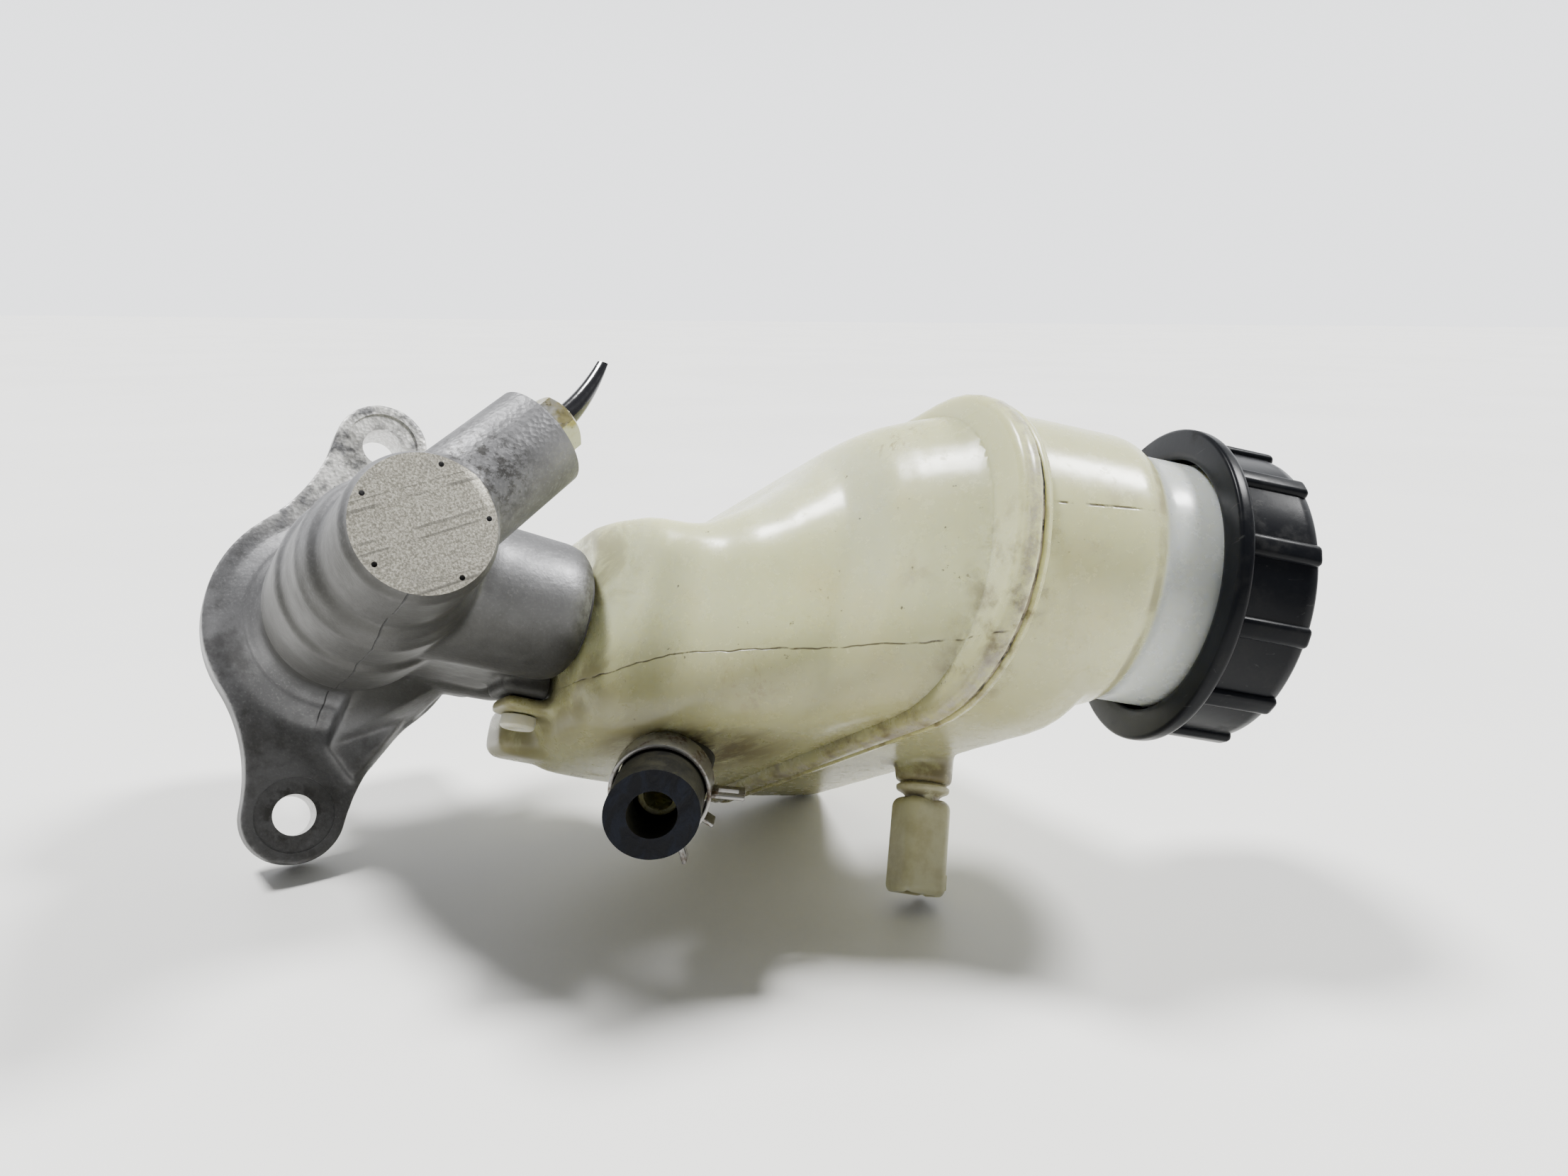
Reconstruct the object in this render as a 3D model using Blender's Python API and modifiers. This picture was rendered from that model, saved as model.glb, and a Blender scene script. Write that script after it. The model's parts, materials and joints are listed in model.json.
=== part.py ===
"""Tandem brake master cylinder with its fluid reservoir, filler cap, level sensor and cut-off lines.

Sizes are in millimetres and become metres in the mesh helpers. The pieces are laid out as they sit
in a car: X forward along the bore from the flange's front face, Y to the left, Z up. The empty
"bench_pose" then tips the whole assembly onto its left side, on the three points it rests on.
"""

import math

import bmesh
import bpy
from mathutils import Euler, Matrix, Vector

MM = 0.001
GAP = 0.3

FORWARD = Vector((1, 0, 0))
LEFT = Vector((0, 1, 0))
UP = Vector((0, 0, 1))

# How the assembly lies on a bench, in degrees.
BENCH_TILT = Euler([math.radians(a) for a in (-111.60, -24.52, -58.22)], "XYZ")

# Casting
FLANGE_THICKNESS = 10.7
STUD_SPACING = 89.5
STUD_HOLE_R = 4.5
EAR_R = 10.9
FLANGE_HUB_R = 29.0
FLANGE_WAIST_R = 40.0
NOSE_X = 89.9
NOSE_R = 12.4
BORE_R = 10.3
BORE_END_X = 82.0
SPIGOT_R = 17.0
SPIGOT_END_X = -42.0
PORT_X = (79.0, 36.0)
PORT_R = 10.0
PORT_LENGTH = 31.5
PORT_ANGLE = math.radians(54)
PORT_THREAD_R = 5.0
PORT_THREAD_DEPTH = 13.0
TOWER_X = (50.0, 14.0)
TOWER_Y = -1.0
TOWER_R = 14.5
TOWER_TOP = 39.5
POCKET_R = 8.6
POCKET_DEPTH = 10.0
PORT_OUT = Vector((0, -math.sin(PORT_ANGLE), math.cos(PORT_ANGLE)))
PIPE_R = 2.38
PIPE_BEND = Vector((0.02, -0.30, -0.16))

# Pistons and springs
PISTON_R = 10.2
CUP_R = 10.25
PRIMARY_FRONT_X = 5.0
PRIMARY_BACK_X = -33.6
SECONDARY_FRONT_X = 57.0
SECONDARY_BACK_X = 37.0
SPRING_R = 7.2
SPRING_WIRE_R = 0.95

# Reservoir
WALL = 2.2
PIN_AT = Vector((35.0, 0, 36.2))
SEAM_Z = 95.0
ROOF_Z = 125.0
NECK_TILT = math.radians(16.2)
NECK_AXIS = Vector((math.sin(NECK_TILT), 0, math.cos(NECK_TILT)))
CAP_BASE = Vector((114.8, -19.4, 139.0))
NECK_R = 25.3
NECK_BORE_R = 22.8
NECK_RIM = 14.2
SHOULDER_R = 28.0

# Cap
CAP_RING_R = 32.3
CAP_SKIRT_R = 29.5
CAP_HEIGHT = 19.3
CAP_RIBS = 12

# Clutch feed hose
HOSE_ROOT = Vector((57.0, 24.0, 64.0))
HOSE_OUT = Vector((0.773, 0.492, -0.402)).normalized()
HOSE_R = 8.75
HOSE_BORE_R = 4.25
HOSE_LENGTH = 33.0
SPOUT_R = 4.9
SPOUT_BORE_R = 3.0
SPOUT_LENGTH = 17.0

# Level sensor, plugged into the left side under the roof
SENSOR = Vector((71.5, 22.5, 117.5))
SHROUD_END_Y = 47.0
FLOAT_AT = Vector((66.0, -18.0, 0))

ROUND = 24
SMALL_ROUND = 14


# Nodes whose long chains of joins and cuts need the manifold solver.
MANY_CUTS = {"cylinder_body", "reservoir_lower_shell", "reservoir_upper_shell", "sensor_housing"}


# ---------------------------------------------------------------- scene and helpers


def clear_scene():
    for thing in list(bpy.data.objects):
        bpy.data.objects.remove(thing)


def new_collection(name):
    made = bpy.data.collections.new(name)
    bpy.context.scene.collection.children.link(made)
    return made


def new_material(name, colour, roughness, metallic=0.0, transmission=0.0):
    made = bpy.data.materials.new(name)
    made.use_nodes = True
    shader = made.node_tree.nodes["Principled BSDF"]
    shader.inputs["Base Color"].default_value = (*colour, 1)
    shader.inputs["Roughness"].default_value = roughness
    shader.inputs["Metallic"].default_value = metallic
    shader.inputs["Transmission Weight"].default_value = transmission
    return made


def place(thing, material=None, at=(0, 0, 0), along=None, turn=0.0):
    """Puts an object in its collection, under the bench pose, with its own Z along a direction."""
    if material:
        PARTS.objects.link(thing)
        thing.data.materials.clear()
        thing.data.materials.append(material)
    else:
        TOOLS.objects.link(thing)
        thing.hide_render = True
        thing.display_type = "WIRE"
    thing.parent = BENCH
    thing.location = Vector(at) * MM
    if along is not None:
        aimed = Vector(along).to_track_quat("Z", "Y").to_matrix()
        thing.rotation_euler = (aimed @ Matrix.Rotation(turn, 3, "Z")).to_euler()
    return thing


def mesh_object(name, build):
    """A new mesh object whose shape comes from build, a function that fills a bmesh in millimetres."""
    mesh = bpy.data.meshes.new(name)
    work = bmesh.new()
    build(work)
    bmesh.ops.scale(work, vec=(MM, MM, MM), verts=work.verts)
    bmesh.ops.recalc_face_normals(work, faces=work.faces)
    work.to_mesh(mesh)
    work.free()
    mesh.shade_smooth()
    mesh.set_sharp_from_angle(angle=math.radians(35))
    return bpy.data.objects.new(name, mesh)


def baked(guide, merge=0.0, sharp=40):
    """The evaluated shape of a guide object, as a new smooth-shaded mesh object of the same name."""
    TOOLS.objects.link(guide)
    graph = bpy.context.evaluated_depsgraph_get()
    mesh = bpy.data.meshes.new_from_object(guide.evaluated_get(graph))
    name = guide.name
    bpy.data.objects.remove(guide)
    if merge:
        work = bmesh.new()
        work.from_mesh(mesh)
        bmesh.ops.remove_doubles(work, verts=work.verts, dist=merge)
        work.to_mesh(mesh)
        work.free()
    mesh.name = name
    mesh.shade_smooth()
    mesh.set_sharp_from_angle(angle=math.radians(sharp))
    return bpy.data.objects.new(name, mesh)


def turned(name, profile, steps=ROUND):
    """A turned solid about Z. The profile is (radius, height) and runs down its outer side."""
    mesh = bpy.data.meshes.new(name)
    points = [(radius * MM, 0, height * MM) for radius, height in profile]
    links = [(i, (i + 1) % len(points)) for i in range(len(points))]
    off_axis = [(a, b) for a, b in links if points[a][0] > 0 or points[b][0] > 0]
    mesh.from_pydata(points, off_axis, [])
    guide = bpy.data.objects.new(name, mesh)
    screw = guide.modifiers.new("turn", "SCREW")
    screw.steps = screw.render_steps = steps
    screw.use_merge_vertices = True
    screw.merge_threshold = 1e-6
    return baked(guide)


def rod(name, radius, bottom, top, steps=ROUND):
    return turned(name, [(0, top), (radius, top), (radius, bottom), (0, bottom)], steps)


def tube(name, outer, inner, bottom, top, steps=ROUND):
    return turned(name, [(outer, top), (outer, bottom), (inner, bottom), (inner, top)], steps)


def box(name, low, high, bevel=0.0):
    low, high = Vector(low), Vector(high)

    def build(work):
        bmesh.ops.create_cube(work, size=1)
        bmesh.ops.scale(work, vec=high - low, verts=work.verts)
        bmesh.ops.translate(work, vec=(low + high) / 2, verts=work.verts)
        if bevel:
            bmesh.ops.bevel(work, geom=work.edges[:], offset=bevel, segments=1, affect="EDGES", profile=0.5)

    return mesh_object(name, build)


def loft(name, rings):
    """A closed solid through rings of the same number of points, capped at both ends."""

    def build(work):
        rows = [[work.verts.new(point) for point in ring] for ring in rings]
        count = len(rows[0])
        for low, high in zip(rows, rows[1:]):
            for i in range(count):
                work.faces.new((low[i], low[(i + 1) % count], high[(i + 1) % count], high[i]))
        for end in (rows[0], rows[-1]):
            work.faces.new(end)
        bmesh.ops.triangulate(work, faces=work.faces)

    return mesh_object(name, build)


def plate(name, outline, low, high):
    """A flat outline in the YZ plane, extruded along X from low to high."""
    return loft(name, [[(x, y, z) for y, z in outline] for x in (low, high)])


def wire(name, points, radius, resolution=1, taper=None):
    """A round wire along the points, as a closed mesh. The taper scales its radius point by point."""
    curve = bpy.data.curves.new(name, "CURVE")
    curve.dimensions = "3D"
    curve.bevel_depth = radius * MM
    curve.bevel_resolution = resolution
    curve.use_fill_caps = True
    spline = curve.splines.new("POLY")
    spline.points.add(len(points) - 1)
    for point, place_at in zip(spline.points, points):
        point.co = (*(Vector(place_at) * MM), 1)
    for point, share in zip(spline.points, taper or []):
        point.radius = share
    return baked(bpy.data.objects.new(name, curve), merge=0.02 * MM, sharp=50)


def combine(target, operation, tools):
    for tool in tools:
        modifier = target.modifiers.new(tool.name, "BOOLEAN")
        modifier.operation = operation
        modifier.object = tool
        modifier.solver = "MANIFOLD" if target.name in MANY_CUTS else "EXACT"


def join(target, *tools):
    combine(target, "UNION", tools)


def cut(target, *tools):
    combine(target, "DIFFERENCE", tools)


def arc(centre, radius, start, end, count):
    """Points on an arc in a plane, from one angle to another in degrees, ends included."""
    steps = [math.radians(start + (end - start) * i / count) for i in range(count + 1)]
    return [(centre[0] + radius * math.cos(a), centre[1] + radius * math.sin(a)) for a in steps]


# ---------------------------------------------------------------- casting


def flange_outline():
    """Hub circle and two ear circles, joined by hollow waists tangent to both. Y across, Z up."""
    ear = STUD_SPACING / 2
    to_hub = FLANGE_HUB_R + FLANGE_WAIST_R
    to_ear = EAR_R + FLANGE_WAIST_R
    y = (to_hub**2 - to_ear**2 + ear**2) / (2 * ear)
    z = math.sqrt(to_hub**2 - y**2)
    at_hub = math.degrees(math.atan2(z, y))
    at_ear = math.degrees(math.atan2(z, y - ear))
    quarter = arc((ear, 0), EAR_R, 0, at_ear, 4)
    quarter += arc((y, z), FLANGE_WAIST_R, at_ear + 180, at_hub + 180, 4)[1:]
    quarter += arc((0, 0), FLANGE_HUB_R, at_hub, 90, 3)[1:]
    half = quarter + [(-py, pz) for py, pz in quarter[-2::-1]]
    return half + [(py, -pz) for py, pz in half[-2:0:-1]]


def make_casting(material):
    barrel = [(0, NOSE_X), (NOSE_R, NOSE_X), (13.4, 87.5), (14.0, 69), (15.0, 66.5), (17.0, 62)]
    barrel += [(17.6, 50), (18.6, 27), (18.6, 21), (17.6, 18), (18.2, 5), (20.5, 1.5), (24.5, -1)]
    barrel += [(24.5, -6), (SPIGOT_R, -8), (SPIGOT_R, -13.5), (15.2, -13.5), (15.2, -17)]
    barrel += [(SPIGOT_R, -17), (SPIGOT_R, SPIGOT_END_X + 2), (SPIGOT_R - 2, SPIGOT_END_X), (0, SPIGOT_END_X)]
    body = place(turned("cylinder_body", barrel), material, along=FORWARD)

    flange = place(plate("flange", flange_outline(), -FLANGE_THICKNESS, 0))
    saddle = place(box("saddle", (1.5, -12.5, 0), (58, 12.5, 32), bevel=2.5))
    foot = [(-2, 9, 2), (-2, 30, 2.5), (-2, 36.5, 11), (-2, 21, 20), (-2, 9, 28)]
    crest = [(25, 9, 6), (1.6, 28.5, 4), (1.6, 35, 10), (2.5, 20, 18), (20, 9, 26)]
    left_gusset = loft("left_gusset", [foot, crest])
    side_lug = box("fixing_boss", (28, 8, 30), (42, 15.5, 40.6), bevel=1.5)
    join(body, flange, saddle, place(left_gusset), place(side_lug))
    for x in TOWER_X:
        rim = [(0, TOWER_TOP), (TOWER_R - 3, TOWER_TOP), (TOWER_R - 1, TOWER_TOP - 0.9)]
        rim += [(TOWER_R, TOWER_TOP - 3), (TOWER_R + 0.4, 8), (0, 8)]
        join(body, place(turned("tower", rim), at=(x, TOWER_Y, 0), along=UP))
    for x in PORT_X:
        end = [(0, PORT_LENGTH), (PORT_R - 1.2, PORT_LENGTH), (PORT_R, PORT_LENGTH - 1.2)]
        end += [(PORT_R + 0.3, 2), (0, 2)]
        join(body, place(turned("port_boss", end, 20), at=(x, 0, 0), along=PORT_OUT))

    for side in (-1, 1):
        hole = rod("stud_hole", STUD_HOLE_R, -FLANGE_THICKNESS - 2, 2, 24)
        cut(body, place(hole, at=(0, side * STUD_SPACING / 2, 0), along=FORWARD))
    bore = [(0, BORE_END_X + 4), (3, BORE_END_X + 3), (BORE_R, BORE_END_X), (BORE_R, -37)]
    bore += [(11.6, -37), (11.6, -38.8), (BORE_R, -38.8), (BORE_R, -41), (11.5, -43), (0, -43)]
    cut(body, place(turned("bore", bore), along=FORWARD))
    for x in PORT_X:
        seat = PORT_LENGTH - PORT_THREAD_DEPTH
        drill = [(0, PORT_LENGTH + 2), (PORT_THREAD_R, PORT_LENGTH + 2), (PORT_THREAD_R, seat)]
        drill += [(1.6, seat - 2.5), (1.6, 7), (0, 7)]
        cut(body, place(turned("port_drilling", drill, SMALL_ROUND), at=(x, 0, 0), along=PORT_OUT))
    for x in TOWER_X:
        floor = TOWER_TOP - POCKET_DEPTH
        pocket = [(0, TOWER_TOP + 2), (POCKET_R, TOWER_TOP + 2), (POCKET_R, floor), (0, floor)]
        cut(body, place(turned("grommet_pocket", pocket), at=(x, TOWER_Y, 0), along=UP))
        feed = rod("feed_hole", 1.5, 7, floor + 1, 10)
        cut(body, place(feed, at=(x - 6.4, TOWER_Y, 0), along=UP, turn=0.2))
    thread = rod("pin_hole", 2.1, 6, 18, 12)
    cut(body, place(thread, at=PIN_AT, along=LEFT))
    return body


# ---------------------------------------------------------------- inside the bore


def make_pistons(aluminium, rubber, steel, plastic):
    groove = 7.2
    front, back = PRIMARY_FRONT_X, PRIMARY_BACK_X
    primary = [(0, front), (4.6, front), (4.6, front - 0.5), (PISTON_R - 0.8, front - 0.5)]
    primary += [(PISTON_R, front - 1.3), (PISTON_R, 2.2), (groove, 2.2), (groove, -2.6), (PISTON_R, -2.6)]
    primary += [(PISTON_R, -6), (8.6, -7), (8.6, -20), (PISTON_R, -21), (PISTON_R, -23), (groove, -23)]
    primary += [(groove, -27.6), (PISTON_R, -27.6), (PISTON_R, back + 1), (PISTON_R - 1, back)]
    primary += [(5.4, back), (5.2, back + 12), (0, back + 16)]
    place(turned("primary_piston", primary), aluminium, along=FORWARD)

    front, back = SECONDARY_FRONT_X, SECONDARY_BACK_X
    secondary = [(0, front), (4.6, front), (4.6, front - 0.5), (PISTON_R - 0.8, front - 0.5)]
    secondary += [(PISTON_R, front - 1.3), (PISTON_R, 54.6), (groove, 54.6), (groove, 50.4), (PISTON_R, 50.4)]
    secondary += [(PISTON_R, 48.6), (8.6, 48), (8.6, 45.4), (PISTON_R, 44.8), (PISTON_R, 43.6), (groove, 43.6)]
    secondary += [(groove, 39.4), (PISTON_R, 39.4), (PISTON_R, back + 0.8), (PISTON_R - 0.8, back), (0, back)]
    place(turned("secondary_piston", secondary), aluminium, along=FORWARD)

    seats = {"primary_cup": (-2.6, 2.2), "primary_rear_cup": (-27.6, -23)}
    seats |= {"secondary_front_cup": (50.4, 54.6), "secondary_rear_cup": (39.4, 43.6)}
    for name, (low, high) in seats.items():
        low, high = low + GAP, high - GAP
        lip = [(CUP_R, high), (CUP_R, high - 1.4), (CUP_R - 0.9, low), (groove + GAP, low)]
        lip += [(groove + GAP, high - 0.8), (groove + 1.0, high - 0.8), (groove + 1.4, high - 2)]
        lip += [(CUP_R - 0.8, high - 2)]
        place(turned(name, lip), rubber, along=FORWARD)

    back_wall = SECONDARY_BACK_X - GAP
    hat = [(8.6, back_wall), (8.6, back_wall - 1.2), (5.0, back_wall - 1.2), (5.0, 17.5), (1.9, 17.5)]
    hat += [(1.9, 18.7), (4.0, 18.7), (4.0, back_wall)]
    place(turned("spring_retainer", hat, 24), steel, along=FORWARD)
    pin = [(0, 21.2), (3.2, 21.2), (3.2, 19.0), (1.5, 19.0), (1.5, PRIMARY_FRONT_X + GAP)]
    pin += [(0, PRIMARY_FRONT_X + GAP)]
    place(turned("spring_cage_pin", pin, 16), steel, along=FORWARD)

    ends = {"primary_spring": (PRIMARY_FRONT_X, back_wall - 1.2, 5.5)}
    ends["secondary_spring"] = (SECONDARY_FRONT_X, BORE_END_X, 4.5)
    for name, (low, high, turns) in ends.items():
        start = low + SPRING_WIRE_R + GAP
        length = high - SPRING_WIRE_R - GAP - start
        count = round(turns * 9)
        coil = []
        for i in range(count + 1):
            angle = 2 * math.pi * turns * i / count
            rise = start + length * i / count
            coil.append((rise, SPRING_R * math.cos(angle), SPRING_R * math.sin(angle)))
        place(wire(name, coil, SPRING_WIRE_R), steel)

    washer_front = PRIMARY_BACK_X - GAP
    washer = tube("stop_washer", PISTON_R - 0.1, 6.4, washer_front - 2.6, washer_front)
    place(washer, steel, along=FORWARD)
    # An open ring in the groove: the ring without a wedge at its opening.
    ring = tube("snap_ring", 11.3, 9.0, -38.5, -37.3)
    opening = box("ring_opening", (-40, -2.5, 7), (-36, 2.5, 13))
    cut(place(ring, steel, along=FORWARD), place(opening))
    place(plastic_bush(), plastic, along=FORWARD)


def plastic_bush():
    """The sleeve that guides the push rod, held in the mouth of the spigot behind the snap ring."""
    return tube("rod_guide", 9.6, 7.0, -42.5, -39.0, 28)


def make_spigot_ring(rubber):
    section = arc((15.6 + 1.25, -15.25), 1.25, 90, -225, 7)
    place(turned("spigot_o_ring", section), rubber, along=FORWARD)


# ---------------------------------------------------------------- lines at the ports


def make_pipes(zinc, coating):
    hex_r = 10.6 / 2 / math.cos(math.radians(30))
    top = PORT_LENGTH + GAP + 5.6
    for name, x in zip(("front", "rear"), PORT_X):
        nut = turned(
            name + "_pipe_nut",
            [(0, top), (hex_r - 0.9, top), (hex_r, top - 0.7), (hex_r, PORT_LENGTH + 1.0)]
            + [(hex_r - 0.9, PORT_LENGTH + GAP), (0, PORT_LENGTH + GAP)],
            6,
        )
        place(nut, zinc, at=(x, 0, 0), along=PORT_OUT, turn=math.radians(15))
        shank = rod("nut_shank", PORT_THREAD_R - GAP, PORT_LENGTH - 9, PORT_LENGTH + 2, SMALL_ROUND)
        join(nut, place(shank, at=(x, 0, 0), along=PORT_OUT))
        through = rod("pipe_way", 2.7, PORT_LENGTH - 12, top + 3, 16)
        cut(nut, place(through, at=(x, 0, 0), along=PORT_OUT))

        # Each pipe was nipped off a short way out: it bends over and narrows to a pinched end.
        reach = 12.0 if name == "front" else 7.0
        run, taper = [], []
        for i in range(13):
            t = i / 12
            late = max(0.0, t - 0.5) / 0.5
            run.append(PORT_OUT * (PORT_LENGTH - 8.5 + (16 + reach) * t) + PIPE_BEND * reach * late**2)
            taper.append(1.0 - 0.62 * late**1.4)
        pipe = wire(name + "_brake_pipe", run, PIPE_R, 2, taper)
        place(pipe, coating, at=(x, 0, 0))


# ---------------------------------------------------------------- reservoir


def plan(z, rear, front, right, left_rear, left_front, r_rear, r_right, r_left, inset=0.0):
    """A level ring of the reservoir: four sides, the left one slanting, with round corners."""
    rear, front, right = rear + inset, front - inset, right + inset
    left_rear, left_front = left_rear - inset, left_front - inset
    corners = [(rear, right, max(r_rear - inset, 1)), (front, right, max(r_right - inset, 1))]
    corners += [(front, left_front, max(r_left - inset, 1)), (rear, left_rear, max(r_rear - inset, 1))]
    count = len(corners)
    ring = []
    for i, (x, y, radius) in enumerate(corners):
        here = Vector((x, y))
        before = (Vector(corners[i - 1][:2]) - here).normalized()
        after = (Vector(corners[(i + 1) % count][:2]) - here).normalized()
        half = before.angle(after) / 2
        centre = here + (before + after).normalized() * (radius / math.sin(half))
        start = here + before * (radius / math.tan(half)) - centre
        sweep = math.pi - 2 * half
        for step in range(6):
            point = centre + Matrix.Rotation(sweep * step / 5, 2) @ start
            ring.append((point.x, point.y, z))
    return ring


# Level by level: height, rear, front, right, left at the rear, left at the front, corner radii.
LOWER_LEVELS = [
    (41.0, 13, 56, -22, 19.5, 17, 6, 10, 10),
    (44.0, 10.5, 63, -23, 25, 21, 7, 11, 11),
    (49.0, 9, 73, -23, 28, 23, 7, 12, 12),
    (56.0, 8.5, 83, -21, 28.5, 22, 7, 13, 13),
    (64.0, 8, 91.5, -25, 28.5, 20, 7, 15, 16),
    (70.0, 8, 97, -31, 28.5, 19, 8, 18, 19),
    (77.0, 8, 104.5, -39, 28.5, 17, 9, 23, 24),
    (82.0, 8, 112, -43.5, 28, 15.5, 9, 25, 27),
    (88.0, 8, 121, -45.5, 28, 13.5, 9, 27, 29),
    (SEAM_Z, 8, 131, -46.5, 27, 12, 9, 28, 30),
]
UPPER_LEVELS = [
    (SEAM_Z + GAP, 8, 131, -46.5, 27, 12, 9, 28, 30),
    (103.0, 8, 131.5, -46.5, 26, 12, 9, 28, 30),
    (112.0, 8.5, 131, -46.5, 24.5, 12.5, 9, 28, 29),
    (120.5, 9.5, 128, -45, 23, 12, 9, 27, 28),
    (123.8, 11, 124, -43, 21, 9.5, 9, 26, 26),
    (ROOF_Z, 14, 118, -39, 18, 6, 8, 24, 24),
]
FLANGE_STEP = 2.8


def seam_ring(z, grow):
    return plan(z, *LOWER_LEVELS[-1][1:], inset=-grow)


def make_lower_shell(material):
    rings = [plan(*level) for level in LOWER_LEVELS]
    rings[-1:] = [plan(SEAM_Z - 2.2, *LOWER_LEVELS[-1][1:], inset=0.4)]
    rings += [seam_ring(SEAM_Z - 2.0, FLANGE_STEP), seam_ring(SEAM_Z, FLANGE_STEP)]
    shell = place(loft("reservoir_lower_shell", rings), material)

    lug = box("pin_lug", (28.5, 16, 31), (41.5, 19.2, 46), bevel=1.2)
    lobe = box("rear_lobe", (9.5, 14.8, 35.5), (26.5, 26.5, 50), bevel=3)
    join(shell, place(lug), place(lobe))
    spout = rod("spout", SPOUT_R, -8, SPOUT_LENGTH, 24)
    join(shell, place(spout, at=HOSE_ROOT, along=HOSE_OUT))
    for x in TOWER_X:
        nipple = turned(
            "nipple", [(0, 45), (5.0, 45), (5.0, 33), (4.4, 31.5), (0, 31.5)], SMALL_ROUND
        )
        join(shell, place(nipple, at=(x, TOWER_Y, 0), along=UP))

    hollow = [plan(level[0] + WALL * (i == 0), *level[1:], inset=WALL) for i, level in enumerate(LOWER_LEVELS)]
    hollow.append(plan(SEAM_Z + 4, *LOWER_LEVELS[-1][1:], inset=WALL))
    cut(shell, place(loft("lower_hollow", hollow)))
    cut(shell, place(box("lobe_hollow", (12, 17, 38), (24, 24.2, 52))))
    bore = rod("spout_bore", SPOUT_BORE_R, -12, SPOUT_LENGTH + 4, 20)
    cut(shell, place(bore, at=HOSE_ROOT, along=HOSE_OUT))
    for x in TOWER_X:
        way = rod("nipple_bore", 3.1, 28, 50, 16)
        cut(shell, place(way, at=(x, TOWER_Y, 0), along=UP, turn=0.13))
    hole = rod("lug_hole", 2.4, 10, 25, 16)
    cut(shell, place(hole, at=PIN_AT, along=LEFT))


def make_upper_shell(material):
    rings = [plan(*level) for level in UPPER_LEVELS]
    skirt = [seam_ring(SEAM_Z + GAP, FLANGE_STEP), seam_ring(SEAM_Z + 1.9, FLANGE_STEP)]
    skirt.append(plan(SEAM_Z + 2.3, *UPPER_LEVELS[0][1:], inset=0.3))
    shell = place(loft("reservoir_upper_shell", skirt + rings[1:]), material)
    neck = turned(
        "neck",
        [(0, NECK_RIM), (NECK_R, NECK_RIM), (NECK_R, -9.5), (SHOULDER_R - 0.8, -12.5)]
        + [(SHOULDER_R, -15), (SHOULDER_R, -38), (SHOULDER_R - 8, -40), (0, -40)],
        36,
    )
    socket = turned("sensor_boss", [(0, 3), (6.2, 3), (6.6, -8), (0, -8)], SMALL_ROUND)
    join(shell, place(neck, at=CAP_BASE, along=NECK_AXIS))
    join(shell, place(socket, at=SENSOR - LEFT * 1.5, along=LEFT))

    hollow = [plan(level[0], *level[1:], inset=WALL) for level in UPPER_LEVELS[:-2]]
    hollow.insert(0, plan(SEAM_Z - 4, *UPPER_LEVELS[0][1:], inset=WALL))
    hollow.append(plan(ROOF_Z - WALL, *UPPER_LEVELS[-2][1:], inset=WALL))
    inside = turned(
        "neck_inside",
        [(0, NECK_RIM + 3), (NECK_BORE_R, NECK_RIM + 3), (NECK_BORE_R, -10), (SHOULDER_R - WALL, -13.5)]
        + [(SHOULDER_R - WALL, -37), (0, -37)],
        36,
    )
    way = rod("sensor_way", 4.4, -16, 5, SMALL_ROUND)
    level_cut = box("seam_level", (-20, -90, SEAM_Z - 30), (170, 70, SEAM_Z + GAP))
    cut(shell, place(loft("upper_hollow", hollow)), place(inside, at=CAP_BASE, along=NECK_AXIS))
    cut(shell, place(way, at=SENSOR, along=LEFT, turn=0.1), place(level_cut))


def make_grommets(rubber):
    for name, x in zip(("front", "rear"), TOWER_X):
        top = TOWER_TOP + 0.9
        low = TOWER_TOP - POCKET_DEPTH + GAP
        profile = [(10.6, top), (10.6, TOWER_TOP + GAP), (POCKET_R - GAP, TOWER_TOP + GAP)]
        profile += [(POCKET_R - GAP, low + 1), (POCKET_R - 1.1, low), (5.3, low), (5.3, top)]
        grommet = turned(name + "_grommet", profile, 24)
        place(grommet, rubber, at=(x, TOWER_Y, 0), along=UP)


def make_fixing_pin(plastic):
    outline = [(0, 20.2), (1.8, 20.2), (1.8, 22.4), (3.3, 22.4), (3.8, 21.8), (3.8, 19.5)]
    outline += [(1.8, 19.5), (1.8, 9), (0, 8)]
    place(turned("reservoir_pin", outline, 16), plastic, at=PIN_AT, along=LEFT)


# ---------------------------------------------------------------- filler cap


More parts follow.
